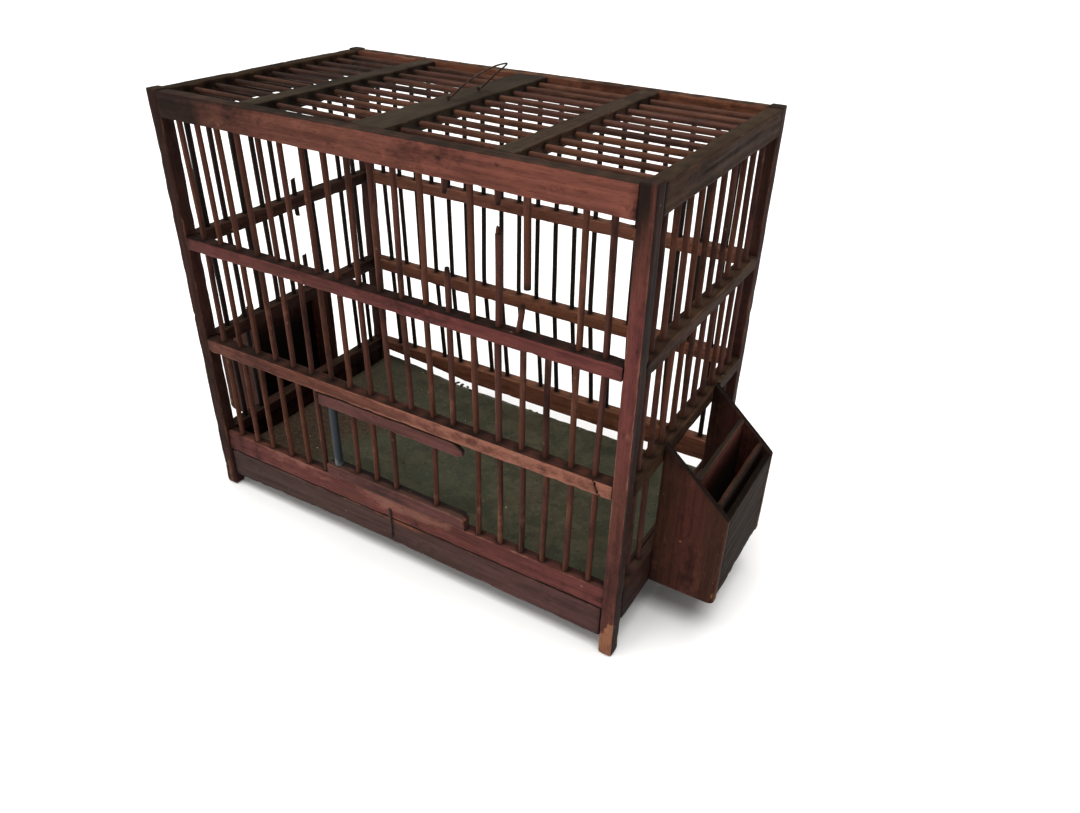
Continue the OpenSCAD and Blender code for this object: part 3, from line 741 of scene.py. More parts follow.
def tray_dirt(name):
    """Thin board under years of trodden dirt."""
    s = Nodes(name)
    g = s.attr("gco").outputs["Vector"]
    mw, mg, md, mt = s.split("ma")
    big = s.noise(g, scale=9, detail=4, rough=0.55)
    mid = s.noise(g, scale=34, detail=5, rough=0.62, distort=0.6)
    fine = s.noise(g, scale=210, detail=4, rough=0.6)
    grain = s.noise(s.scaled(g, (9, 210, 210)), detail=4, rough=0.6)
    c = s.mix(s.range(mid, 0.36, 0.66), lin(50, 50, 37), lin(72, 69, 53))
    c = s.mix(s.math("MULTIPLY", s.range(big, 0.42, 0.66), 0.5), c, lin(60, 64, 51))
    c = s.mix(s.math("MULTIPLY", s.range(big, 0.30, 0.44, 1.0, 0.0), 0.35), c, lin(70, 60, 44))
    c = s.mix(s.math("MULTIPLY", s.range(fine, 0.55, 0.72), 0.4), c, lin(94, 94, 75))
    c = s.mix(s.math("MULTIPLY", s.range(fine, 0.28, 0.42, 1.0, 0.0), 0.45), c, lin(38, 38, 28))
    c = s.mix(s.math("MULTIPLY", s.range(grain, 0.55, 0.8), 0.25), c, lin(50, 46, 35))
    vo = s.voronoi(g, scale=150)
    sep = s.new("ShaderNodeSeparateColor")
    s.put(sep.inputs[0], vo.outputs["Color"])
    dot = s.math("MULTIPLY", s.range(vo.outputs["Distance"], 0.14, 0.26, 1.0, 0.0), s.range(sep.outputs[0], 0.80, 0.84))
    c = s.mix(s.math("MULTIPLY", dot, 0.7), c, lin(28, 24, 19))
    c = s.mix(s.math("MULTIPLY", mg, 0.8), c, lin(26, 22, 17))
    cr = s.split("mb")[0]
    c = s.mix(s.range(s.math("ADD", cr, s.math("MULTIPLY", s.math("SUBTRACT", mid, 0.5), 0.8)), 0.1, 0.9), c, s.mix(s.range(fine, 0.35, 0.65), lin(50, 39, 30), lin(70, 56, 42)))
    c = s.mix(mw, c, lin(150, 150, 140))
    ro = s.range(mid, 0.3, 0.7, 0.74, 0.95, "LINEAR")
    h = s.math("ADD", s.math("MULTIPLY", mid, 0.8), s.math("MULTIPLY", fine, 0.35))
    h = s.math("ADD", h, s.math("MULTIPLY", dot, 0.4))
    return s.finish(c, ro, h, bump=0.7, distance=0.0009, spec=0.18)


def old_paint(name):
    """Blue-grey paint over dark wood, rubbed through in places."""
    s = Nodes(name)
    g = s.attr("gco").outputs["Vector"]
    mw, mg, md, mt = s.split("ma")
    cr, cred, csoot, cpaint = s.split("mb")
    fib = s.noise(s.scaled(g, (12, 260, 260)), detail=5, rough=0.6)
    spot = s.noise(s.scaled(g, (60, 120, 120)), detail=5, rough=0.65)
    c = s.mix(s.range(spot, 0.35, 0.7), lin(25, 32, 38), lin(39, 48, 55))
    c = s.mix(s.math("MULTIPLY", s.range(fib, 0.45, 0.75), 0.45), c, lin(32, 37, 42))
    rub = s.range(s.math("ADD", mw, s.math("MULTIPLY", s.math("SUBTRACT", spot, 0.5), 1.3)), 0.5, 0.8)
    c = s.mix(s.math("MULTIPLY", rub, 0.75), c, lin(62, 46, 38))
    pale = s.range(s.math("ADD", cr, s.math("MULTIPLY", s.math("SUBTRACT", spot, 0.5), 0.8)), 0.35, 0.8)
    c = s.mix(s.math("MULTIPLY", pale, 0.7), c, lin(104, 112, 112))
    c = s.mix(s.math("MULTIPLY", mg, 0.8), c, lin(24, 20, 18))
    ro = s.range(spot, 0.3, 0.7, 0.45, 0.75, "LINEAR")
    h = s.math("ADD", s.math("MULTIPLY", fib, -0.4), s.math("MULTIPLY", rub, -0.6))
    h = s.math("ADD", h, s.math("MULTIPLY", spot, 0.3))
    return s.finish(c, ro, h, bump=0.6, distance=0.0005, spec=0.3)


def rusty(name, base=(40, 31, 26), rust=(92, 56, 38)):
    s = Nodes(name)
    g = s.attr("gco").outputs["Vector"]
    a = s.noise(g, scale=260, detail=5, rough=0.65)
    b = s.noise(g, scale=900, detail=3, rough=0.6)
    c = s.mix(s.range(a, 0.42, 0.68), lin(*base), lin(*rust))
    c = s.mix(s.math("MULTIPLY", s.range(b, 0.5, 0.75), 0.5), c, lin(22, 18, 16))
    ro = s.range(a, 0.35, 0.7, 0.5, 0.85, "LINEAR")
    h = s.math("ADD", s.math("MULTIPLY", a, 0.6), s.math("MULTIPLY", b, 0.5))
    return s.finish(c, ro, h, bump=0.8, distance=0.0003, spec=0.4, metal=0.35)


def crumbs(name):
    """Husks, grit and dried droppings."""
    s = Nodes(name)
    g = s.attr("gco").outputs["Vector"]
    mw, mg, md, mt = s.split("ma")
    a = s.noise(g, scale=700, detail=4, rough=0.6)
    c = s.mix(s.range(mt, 0.2, 0.8), lin(44, 38, 29), lin(104, 92, 70))
    c = s.mix(s.range(mt, 0.90, 0.94), c, lin(158, 156, 146))
    c = s.mix(s.math("MULTIPLY", s.range(a, 0.5, 0.7), 0.5), c, lin(36, 30, 24))
    return s.finish(c, s.range(a, 0.3, 0.7, 0.7, 0.95, "LINEAR"), a, bump=0.7, distance=0.0003, spec=0.2)


M_RED = wood("red_wood", (44, 23, 18), (84, 47, 37), (118, 72, 56), spec=0.07)
M_TOPR = wood("top_rail_wood", (46, 26, 21), (92, 55, 45), (128, 83, 68), worn=(142, 98, 80), raw=(160, 108, 80), red=(118, 68, 57), dust=(52, 42, 34), spec=0.07)
M_ROSE = wood("rose_wood", (40, 22, 20), (78, 45, 39), (110, 68, 58), worn=(136, 92, 78), raw=(148, 98, 72), red=(101, 53, 50), dust=(56, 46, 38), spec=0.07)
M_SALMON = wood("salmon_wood", (50, 28, 23), (92, 54, 44), (128, 82, 68), worn=(156, 104, 86), raw=(170, 114, 92), red=(112, 60, 50), dust=(56, 46, 38), spec=0.07, stain=0.5)
M_DEEP = wood("deep_red_wood", (28, 17, 13), (54, 32, 26), (82, 52, 42), worn=(116, 76, 60), red=(84, 42, 36), spec=0.05)
M_END = wood("brown_end_wood", (31, 22, 16), (63, 44, 33), (90, 66, 50), worn=(104, 76, 55), red=(80, 44, 33), dust=(56, 46, 36), spec=0.03)
M_GREY = wood("grey_top_wood", (30, 24, 18), (51, 41, 32), (73, 61, 48), worn=(86, 70, 53), red=(66, 41, 31), dust=(57, 49, 39), fleck=0.2, spec=0.06)
M_BACK = wood("back_wood", (57, 34, 25), (120, 75, 56), (162, 108, 82), worn=(162, 111, 85), red=(136, 80, 60), spec=0.06)
M_BACKTOP = wood("back_top_wood", (48, 28, 21), (100, 61, 47), (134, 88, 68), worn=(144, 98, 76), red=(114, 65, 50), spec=0.06)
M_BAR = wood("bar_wood", (38, 21, 16), (75, 43, 34), (106, 66, 53), worn=(124, 82, 64), raw=(158, 108, 80), fleck=0.25, ring=0.1, spec=0.08)
# darker copy of the bar wood: painted shade for the back and left bars
M_BAR_SHADED = wood("bar_wood_painted_shade", (16, 10, 8), (34, 21, 16), (58, 38, 29), worn=(74, 48, 37), raw=(104, 70, 50), grime_and_shade=(8, 6, 5), fleck=0.1, ring=0.1)
M_BAR_TOP = wood("top_bar_wood", (36, 21, 15), (80, 48, 36), (114, 73, 55), worn=(120, 80, 61), raw=(130, 88, 62), dust=(66, 51, 41), fleck=0.15, ring=0.1)
M_TRAYF = wood("tray_front_wood", (35, 24, 21), (61, 41, 36), (84, 59, 52), worn=(102, 73, 63), raw=(144, 84, 56), red=(79, 48, 46))
M_TRAYF2 = wood("door_rail_wood", (38, 25, 23), (68, 44, 39), (94, 64, 57), worn=(112, 78, 68), raw=(140, 82, 56), red=(88, 49, 45), grime_and_shade=(14, 10, 8))
M_FEED = wood("feeder_wood", (31, 18, 14), (57, 34, 27), (88, 56, 45), worn=(110, 72, 56), red=(78, 41, 34), fleck=0.3, ring=0.10, spec=0.05, dust=(50, 47, 38))
M_FEED_OUT = wood("feeder_outer_wood", (24, 18, 14), (41, 31, 24), (58, 45, 35), worn=(66, 50, 39), red=(62, 39, 32), dust=(50, 42, 34), fleck=0.25, spec=0.02, ring=0.05, bump=0.3, contrast=0.55)
M_DIRT = tray_dirt("tray_dirt")
M_PAINT = old_paint("old_paint")
M_IRON = rusty("rusted_wire")
M_CATCH = rusty("rusted_strip", base=(34, 22, 18), rust=(52, 31, 25))
M_NAIL = rusty("nail_iron", base=(34, 28, 25), rust=(86, 60, 46))
M_CRUMB = crumbs("crumbs")


# ---------------------------------------------------------------- the cage frame

def one(name, node, body, mat, slot, part, **kw):
    g = Geo()
    for p in (part if isinstance(part, list) else [part]):
        g.add(*p)
    return g.build("v_" + name, body, mat, slot, (node,) if isinstance(node, str) else node, **kw)


fb_lo, fb_hi = B("front_bars_upper")
BAR_D = fb_hi[1] - fb_lo[1]
FRONT_X = np.linspace(fb_lo[0] + BAR_D / 2, fb_hi[0] - BAR_D / 2, 19)
FRONT_Y = (fb_lo[1] + fb_hi[1]) / 2
rb_lo, rb_hi = B("right_bars_upper")
SIDE_Y = np.linspace(rb_lo[1] + BAR_D / 2, rb_hi[1] - BAR_D / 2, 10)
END_X = (rb_lo[0] + rb_hi[0]) / 2
BACK_Y = -FRONT_Y
tb_lo, tb_hi = B("top_bars")
TOP_Z = (tb_lo[2] + tb_hi[2]) / 2
BIG = 1e9


class Drift:
    """How far each bar of a wall has wandered from its place, in mm, at a few heights."""

    def __init__(self, rows, n):
        self.z = [z for z, _ in rows]
        self.v = np.array([np.interp(np.arange(n), [p[0] for p in r_], [p[1] for p in r_]) for _, r_ in rows])

    def at(self, i, z):
        return float(np.interp(z, self.z, self.v[:, i]))

    def along(self, i):
        return lambda z: np.interp(z, self.z, self.v[:, i])


def still(z):
    return np.zeros_like(z)


BACK_DRIFT = Drift([
    (94, [(0, 9.8), (1, 9.8), (3, 11.8), (4, 13.6), (6, 12.8), (7, 12.8), (9, 11.5), (10, 10.8), (12, 8.8), (13, 5.8), (18, 0.8)]),
    (213, [(0, 3.5), (1, 3.4), (6, 3.8), (7, 1.9), (9, 1.7), (10, 1.3), (12, 0.7), (14, 0), (18, 0)]),
    (233, [(0, 3.3), (3, 2.6), (4, 2.2), (6, 1.3), (7, 1.0), (8, 0), (9, 0), (10, -0.9), (12, -0.6), (13, -2), (18, -2)]),
    (347, [(0, 0), (6, 0), (9, -1), (13, -2.5), (18, -3)]),
    (497, [(0, 0), (18, 0)])], 19)
FRONT_DRIFT = Drift([
    (233, [(0, -1.2), (1, 0), (2, 1.2), (3, 1.9), (4, 1.9), (5, 2.4), (6, 4.3), (7, 3.6), (8, 6), (9, 7), (10, 4.3), (11, 4.8), (12, 3.6),
           (13, 4.8), (14, 3.6), (15, 2.4), (17, 2.4), (18, 0.7)]),
    (347, [(0, -1.3), (1, -0.8), (2, 0.4), (5, 1.5), (7, 2.6), (10, 2.6), (13, 2.5), (15, 2), (16, 1), (17, 2.5), (18, 3)]),
    (365, [(0, -1.8), (1, -1.5), (5, 1.5), (7, 3), (10, 3), (11, 3.6), (12, 3), (13, 2.6), (15, 4.5), (17, 4), (18, 3)]),
    (407, [(0, -2.6), (1, -2.8), (5, 0.8), (7, 2.4), (10, 2.4), (11, 3.3), (13, 2.0), (15, 5.5), (17, 4), (18, 2.6)]),
    (497, [(0, -4.5), (1, -6), (5, -1), (7, 0.5), (10, 0.7), (11, 2.5), (13, 0.5), (15, 3.5), (17, 4), (18, 1)])], 19)
LOW_DRIFT = Drift([
    (94, [(0, 0.7), (1, 0.7), (2, 0), (3, 4.5), (4, 5.3), (5, 5), (7, 1.7), (8, 2), (9, 3.3), (11, 4.3), (13, 5), (14, 5), (15, 4), (16, 2), (17, 2.5), (18, 1)]),
    (213, [(0, 1.2), (1, 1.2), (2, 0), (3, 2.5), (4, 3.6), (5, 4.3), (7, 1.7), (8, 2), (9, 3.3), (11, 4.3), (13, 6), (14, 5), (15, 4.6), (16, 3.5), (17, 3.5), (18, 2)])], 19)
LEFT_DRIFT = Drift([
    (94, [(0, 3), (1, 3), (8, 8), (9, 7)]),
    (213, [(0, 1.2), (1, 1.2), (8, 4), (9, 3.5)]),
    (233, [(0, 1.2), (1, 1.2), (4, 4.8), (7, 5.6), (8, 4), (9, 3.5)]),
    (347, [(0, 0.5), (6, 0.5), (7, 3.4), (8, 0.7), (9, 0.5)]),
    (365, [(0, 0.3), (5, 0.9), (9, 1.4)]),
    (497, [(0, -2), (5, -3.2), (9, -4.5)])], 10)


def front_bar_marks(y, drift=None, z=0):
    return [(x + (drift.at(i, z) if drift else 0), y, BIG) for i, x in enumerate(FRONT_X)]


def side_bar_marks(x, drift=None, z=0):
    return [(x, y + (drift.at(i, z) if drift else 0), BIG) for i, y in enumerate(SIDE_Y)]


def edge_warp(low=None, high=None):
    """Lets the lower and the upper edge of a long board run a little out of level. low and high map x to mm."""
    def warp(V, N):
        x, z = V[:, 0], V[:, 2]
        z0, z1 = z.min(), z.max()
        t = np.clip((z - z0) / max(z1 - z0, 1e-6), 0, 1)
        V[:, 2] = z + (1 - t) * (low(x) if low else 0) + t * (high(x) if high else 0)
        return V
    return warp


def line(*pts):
    xs, vs = [p[0] for p in pts], [p[1] for p in pts]
    return lambda x: np.interp(x, xs, vs)


RAIL_TOP_SLOPE = line((-283, -2.0), (283, 0.8))
SEAM_SLOPE = line((-283, -1.9), (283, 2.1))


# posts: they run down into short worn feet
def foot_warp(V, N):
    z = V[:, 2]
    f = np.clip(1 - z / 4.0, 0, 1) ** 1.6
    cx, cy = (V[:, 0].min() + V[:, 0].max()) / 2, (V[:, 1].min() + V[:, 1].max()) / 2
    V[:, 0] -= np.sign(V[:, 0] - cx) * np.minimum(np.abs(V[:, 0] - cx), 1.3) * f
    V[:, 1] -= np.sign(V[:, 1] - cy) * np.minimum(np.abs(V[:, 1] - cy), 1.3) * f
    return V


def post(name, front, right, seed):
    lo, hi = B(name)
    lo, hi = lo.copy(), hi.copy()
    hi[2] += 1.3

    def tone(P, N, A, C):
        z, x = P[:, 2], P[:, 0]
        n = vnoise(P, 7, seed + 40)
        n2 = vnoise(P, 3.2, seed + 43)
        if front and right:
            # the stain runs lower down on the left half of the front face
            edge_z = 49 - 19 * (1 - smooth(x, lo[0] + 3, lo[0] + 9))
            foot = 1 - smooth(z + 5.0 * n + 2.5 * n2, edge_z - 3, edge_z + 3)
            foot *= np.where(N[:, 0] > 0.45, 0.0, 1.0)
            C[:, 0] = np.maximum(C[:, 0], foot * (0.85 + 0.3 * n2))
            A[:, 1] *= 1 - foot
            A[:, 1] += 0.30 * bump_at(z, 1.0, 3) + 0.25 * foot * np.clip(n, 0, 1)
            A[:, 1] += 0.9 * np.exp(-(((x - (lo[0] + 12)) / 2.6) ** 2 + ((z - 49.5) / 2.0) ** 2)) * (N[:, 1] < -0.3)
            face = N[:, 1] < -0.3
            C[:, 1] += face * (0.62 + 0.55 * bump_at(z, 340, 85) - 0.30 * smooth(z, 420, 500)) * (0.8 + 0.3 * vnoise(P, 60, seed + 41))
            C[:, 1] += 0.20 * (N[:, 0] > 0.3)
            # painted shade: the side face that turns away from the light gets the dark mix, more of it near the foot
            A[:, 1] += 0.80 * (N[:, 0] > 0.5) + 0.25 * (N[:, 0] > 0.5) * (1 - smooth(z, 30, 80))
            edge = np.exp(-((x - hi[0]) / 2.8) ** 2) * (N[:, 1] < 0.4)
            A[:, 0] += 0.34 * edge * (0.5 + 0.5 * vnoise(P, 26, seed + 42)) * smooth(z, 150, 220)
            A[:, 1] += 0.50 * smooth(z, 455, 520) * (N[:, 0] < 0.5) * (x < hi[0] - 6) * face
            A[:, 1] += 0.34 * smooth(z, 400, 505) * face
            A[:, 1] += 0.30 * face * smooth(z, 300, 380) * np.exp(-((x - (lo[0] + 3)) / 3.0) ** 2)
            low = 1 - smooth(z, 110, 270)
            A[:, 1] += 0.50 * low * (1 - foot) * face
            C[:, 0] += 0.62 * face * np.exp(-(((x - (hi[0] - 5)) / 5.0) ** 2 + ((z - 292) / 8.0) ** 2))
        elif front:
            foot = (1 - smooth(z + 5.0 * n + 2.5 * n2, 36, 46)) * np.exp(-((x - (lo[0] + 9)) / 6.0) ** 2) * (N[:, 1] < -0.3)
            C[:, 0] = np.maximum(C[:, 0], 0.5 * foot)
            A[:, 1] += 0.22 + 0.25 * smooth(z, 330, 500)
            A[:, 1] *= 1 - 0.5 * foot
            C[:, 1] += 0.30 * bump_at(z, 300, 90) + 0.2 * (z < 60)
            A[:, 3] -= 0.15
        else:
            foot = 1 - smooth(z + 5.0 * n, 20, 44)
            C[:, 0] = np.maximum(C[:, 0], 0.35 * foot)
            A[:, 1] += 0.25 + (0.15 if right else 0)
            C[:, 1] += 0.3 if right else 0.2
        A[:, 2] = np.where(z > hi[2] - 1.5, 0.6, A[:, 2])
        A[:, 1] += 0.65 * (N[:, 2] > 0.5)
        C[:, 1] *= np.where(N[:, 2] > 0.5, 0.2, 1.0)

    part = board(lo, hi, 2, r=1.4, seed=seed, step=3.2, du=3.6 if front and right else 5.0, rough=0.26, bow=0.15, worn=0.75, chips=9, end_r=1.2,
                 tone=tone, warp=foot_warp, extra=(1, 2, 3, 4, 5.5, 7, 9, 27, 29, 31, 33, 42, 44, 46, 48, 50, 52), ends=0.1, dents=0.18)
    one(name, name, "cage", M_ROSE if front and right else M_DEEP, "red_wood", part)


post("post_front_left", True, False, 11)
post("post_front_right", True, True, 12)
post("post_back_left", False, False, 13)
post("post_back_right", False, True, 14)


# top rails
def top_front_tone(P, N, A, C):
    x, z = P[:, 0], P[:, 2]
    n = vnoise(P, 45, 501)
    face = N[:, 1] < -0.3
    dark = 1 - smooth(x + 45 * n, -225, -95)
    A[:, 1] += 0.95 * dark * face
    C[:, 1] += face * (0.42 + 0.5 * smooth(x + 30 * n, -120, 250))
    for kx, kz, w in ((151.6, 519, 3.2), (89.4, 514, 3.6), (-40, 508, 2.4), (205, 506, 2.2)):
        A[:, 1] += face * 0.85 * np.exp(-(((x - kx) / w) ** 2 + ((z - kz) / (0.7 * w)) ** 2))
    # a drying crack near the right end
    A[:, 1] += 0.55 * face * bump_at(z, 511 + 0.03 * (x - 220), 1.1) * smooth(x, 165, 195) * (1 - smooth(x, 262, 278))
    top = N[:, 2] > 0.5
    A[:, 0] *= np.where(face, 0.75, 0.5)
    A[:, 1] += 0.55 * top
    A[:, 1] += 0.30 * smooth(z, hi[2] - 2.2, hi[2] - 0.4) * face


lo, hi = B("top_rail_front")
TOP_LOW = line((-283, 1.0), (283, -2.0))
one("top_rail_front", "top_rail_front", "cage", M_TOPR, "red_wood",
    board(lo, hi, 0, r=1.5, seed=21, step=3.2, du=4.0, rough=0.30, bow=0.2, worn=0.45, chips=14, tone=top_front_tone, dust=0.8, ends=0.75,
          bars=front_bar_marks(FRONT_Y, FRONT_DRIFT, 497), dents=0.2, warp=edge_warp(low=TOP_LOW)))


def top_back_tone(P, N, A, C):
    C[:, 1] += 0.25 * (N[:, 1] < -0.3)
    A[:, 1] += 0.35 * (N[:, 2] > 0.5) + 0.2 * (N[:, 1] > 0.5)


lo, hi = B("top_rail_back")
one("top_rail_back", "top_rail_back", "cage", M_BACKTOP, "red_wood",
    board(lo, hi, 0, seed=22, step=5, chips=8, tone=top_back_tone, dust=0.6, bars=front_bar_marks(BACK_Y, BACK_DRIFT, 497)))


def end_top(name, right, seed):
    lo, hi = B(name)

    def tone(P, N, A, C):
        y, z = P[:, 1], P[:, 2]
        out = (N[:, 0] > 0.5) if right else (N[:, 0] < -0.5)
        if right:
            # drying crack along the upper part of the outer face
            A[:, 1] += 0.9 * out * bump_at(z, 513 + 0.02 * (y + 30), 1.6) * smooth(y, -80, -50) * (1 - smooth(y, 60, 105))
            A[:, 1] += 0.30 * out
            A[:, 0] += 0.20 * out * bump_at(z, 519, 5) * (vnoise(P, 30, seed + 3) > 0)
            A[:, 0] *= 0.8
        else:
            A[:, 1] += 0.30
        A[:, 1] += 0.28 * (N[:, 2] > 0.5)

    def warp(V, N):
        if right:
            y, z = V[:, 1], V[:, 2]
            m = bump_at(z, 513 + 0.02 * (y + 30), 1.1) * smooth(y, -80, -50) * (1 - smooth(y, 60, 105)) * (N[:, 0] > 0.5)
            V[:, 0] -= 1.1 * m
        return V

    inner = lo[0] if right else hi[0]
    marks = [(inner, y, TOP_Z) for y in SIDE_Y] + side_bar_marks(END_X if right else -END_X)
    one(name, name, "cage", M_END, "red_wood",
        board(lo, hi, 1, seed=seed, step=3.4, du=2.6, rough=0.26, chips=10, tone=tone, warp=warp, dust=0.85, bars=marks, ends=0.6, dents=0.2))


end_top("top_rail_right", True, 23)
end_top("top_rail_left", False, 24)


# middle rails
def mid_front_tone(kind):
    def tone(P, N, A, C):
        x, z = P[:, 0], P[:, 2]
        face = N[:, 1] < -0.3
        n = vnoise(P, 38, 510 + kind)
        if kind == 0:
            C[:, 1] += face * (0.55 + 0.35 * smooth(x + 40 * n, -100, 260))
            A[:, 1] += face * 0.25 * (1 - smooth(x + 30 * n, -250, -120))
            A[:, 0] *= 0.7
        else:
            C[:, 1] += face * 0.30
            A[:, 0] += face * (0.16 + 0.55 * smooth(x + 35 * n, -60, 120))
            C[:, 0] += face * 0.55 * smooth(x + 30 * n, -50, 150) * (0.6 + 0.4 * vnoise(P, 16, 515))
            A[:, 1] += face * 0.4 * (1 - smooth(x + 30 * n, -215, -120))
        A[:, 1] += 0.72 * (N[:, 2] > 0.5)
        A[:, 0] *= np.where(N[:, 2] > 0.5, 0.3, 1.0)
        # painted shade on the undersides
        A[:, 1] += 0.25 * (N[:, 2] < -0.5)
    return tone


def crack_warp(V, N):
    # split in the right end of the rail, from its top edge down to its lower edge
    x, z, y = V[:, 0], V[:, 2], V[:, 1]
    z0 = V[:, 2].min()
    split = 262 + (229 - z) * 0.42 + 0.8 * np.sin(z * 0.9)
    m = bump_at(x, split, 0.9) * (N[:, 1] < -0.2)
    V[:, 1] += 2.0 * m
    V[:, 2] += np.interp(x, (-283, 283), (-0.7, 0.8))
    return V


def crack_tone(inner):
    def tone(P, N, A, C):
        inner(P, N, A, C)
        x, z = P[:, 0], P[:, 2]
        split = 262 + (229 - z) * 0.42 + 0.8 * np.sin(z * 0.9)
        m = bump_at(x, split, 1.2) * (N[:, 1] < -0.2)
        C[:, 2] += m
        A[:, 0] *= 1 - 0.8 * m
        C[:, 0] *= 1 - 0.8 * m
    return tone


lo, hi = B("upper_rail_front")
one("upper_rail_front", "upper_rail_front", "cage", M_ROSE, "red_wood",
    board(lo, hi, 0, seed=31, step=3.2, du=4, chips=14, worn=0.6, rough=0.28, tone=mid_front_tone(0), dust=0.32, bars=front_bar_marks(FRONT_Y, FRONT_DRIFT, 355), ends=0.7, dents=0.2))
lo, hi = B("lower_rail_front")
one("lower_rail_front", "lower_rail_front", "cage", M_SALMON, "red_wood",
    board(lo, hi, 0, seed=32, step=3.2, du=3.2, chips=16, worn=0.9, rough=0.3, tone=crack_tone(mid_front_tone(1)), warp=crack_warp, dust=0.32,
          bars=front_bar_marks(FRONT_Y, FRONT_DRIFT, 230), ends=0.5, dents=0.25, extra=np.arange(260, 273, 0.6)))


def back_tone(P, N, A, C):
    inner = N[:, 1] < -0.3
    C[:, 1] += 0.2 * inner
    C[:, 0] += 0.22 * inner * (0.5 + 0.6 * vnoise(P, 50, 531))
    A[:, 1] += 0.30 * (N[:, 1] > 0.3) + 0.35 * (N[:, 2] > 0.5)


BACK_LOW = line((-283, 13.0), (-270, 12.0), (-190, 7.0), (-160, 4.0), (-120, -0.6), (283, -0.6))
for nm, sd, zb, wp in (("upper_rail_back", 41, 354, None), ("lower_rail_back", 42, 220, None),
                       ("bottom_rail_back", 43, 92, edge_warp(low=BACK_LOW, high=line((-283, -3.0), (283, 3.0))))):
    lo, hi = B(nm)
    one(nm, nm, "cage", M_BACK, "red_wood",
        board(lo, hi, 0, seed=sd, step=4.5, chips=8, tone=back_tone, dust=0.45, bars=front_bar_marks(BACK_Y, BACK_DRIFT, zb), warp=wp))


def end_mid(name, right, seed):
    lo, hi = B(name)

    def tone(P, N, A, C):
        A[:, 1] += 0.22 if right else 0.40
        C[:, 1] += 0.20 * (N[:, 0] > 0.3)
        A[:, 0] += 0.1 * (N[:, 2] > 0.2)
        if right and "lower" in name:
            A[:, 1] += 0.22
            A[:, 2] *= 0.6

    one(name, name, "cage", M_END if right else M_DEEP, "red_wood",
        board(lo, hi, 1, seed=seed, step=4, du=4.5, chips=8, tone=tone, dust=0.5, bars=side_bar_marks(END_X) if right else side_bar_marks(-END_X, LEFT_DRIFT, 354 if "upper" in name else 221), ends=0.7, dents=0.2))


end_mid("upper_rail_right", True, 51)
end_mid("lower_rail_right", True, 52)
end_mid("upper_rail_left", False, 53)
end_mid("lower_rail_left", False, 54)


# bottom rail of the front
def bottom_front_tone(P, N, A, C):
    x, z = P[:, 0], P[:, 2]
    face = N[:, 1] < -0.3
    n = vnoise(P, 34, 540)
    C[:, 1] += face * (0.70 + 0.2 * n)
    # rubbed streaks under the door
    streak = np.exp(-(((x - 22) / 40) ** 2)) * smooth(z + 4 * n, 64, 78)
    A[:, 0] += face * 0.85 * streak
    A[:, 0] += 0.80 * face * smooth(z + 5 * n, 68, 80) * (1 - smooth(x, 60, 150)) * smooth(x, -250, -190) * (0.75 + 0.25 * vnoise(P, 17, 542))
    C[:, 0] += face * 0.10 * streak
    C[:, 0] += face * 0.5 * bump_at(x, 10, 55) * (1 - smooth(z, 65, 69))
    A[:, 1] += 0.9 * face * np.exp(-(((x - 34) / 3.4) ** 2 + ((z - 67.5) / 2.4) ** 2))
    up = N[:, 2] > 0.5
    # painted shade: the top darkens strongly behind the line of the bars, a little all over
    A[:, 1] += up * (0.15 + 0.70 * smooth(P[:, 1], FRONT_Y - 2, FRONT_Y + 2)) * (0.8 + 0.4 * vnoise(P, 25, 541))
    A[:, 0] *= np.where(up & (P[:, 1] > FRONT_Y - 1), 0.3, 1.0)
    A[:, 1] += face * 0.35 * (1 - smooth(x + 20 * n, -285, -190))


lo, hi = B("bottom_rail_front")
lo = lo.copy()
lo[2] -= 0.8
one("bottom_rail_front", "bottom_rail_front", "cage", M_ROSE, "red_wood",
    board(lo, hi, 0, seed=61, step=3.2, du=3.4, chips=14, worn=0.7, rough=0.28, tone=bottom_front_tone, dust=0.2, warp=edge_warp(low=SEAM_SLOPE, high=RAIL_TOP_SLOPE),
          bars=[(x + LOW_DRIFT.at(i, 94), FRONT_Y, BIG) for i, x in enumerate(FRONT_X) if i < 6 or i > 12], ends=0.6, dents=0.2))


# end boards at the bottom, an outer board with a thicker lip along its top
def end_bottom(name, right, seed):
    lo, hi = B(name)
    thick = 12.0
    a_lo, a_hi = lo.copy(), hi.copy()
    b_lo, b_hi = lo.copy(), hi.copy()
    if right:
        a_lo[0] = hi[0] - thick
    else:
        a_hi[0] = lo[0] + thick
    b_lo[2] = hi[2] - 16
    if right:
        b_hi[0] = hi[0] - thick + 0.4
    else:
        b_lo[0] = lo[0] + thick - 0.4

    def tone(P, N, A, C):
        A[:, 1] += 0.52 + 0.15 * vnoise(P, 40, seed)
        C[:, 1] += 0.30
        A[:, 0] *= 0.7

    marks = [(END_X if right else -END_X, SIDE_Y[i], BIG) for i in (0, 1, 8, 9)]
    parts = [board(a_lo, a_hi, 1, seed=seed, step=4.5, du=6, chips=8, tone=tone, dust=0.5, bars=marks, ends=0.6),
             board(b_lo, b_hi, 1, seed=seed + 1, step=5, du=6, chips=2, tone=tone, dust=0.5, bars=marks, worn=0.3)]
    one(name, name, "cage", M_DEEP, "red_wood", parts)


end_bottom("bottom_board_right", True, 64)
end_bottom("bottom_board_left", False, 67)

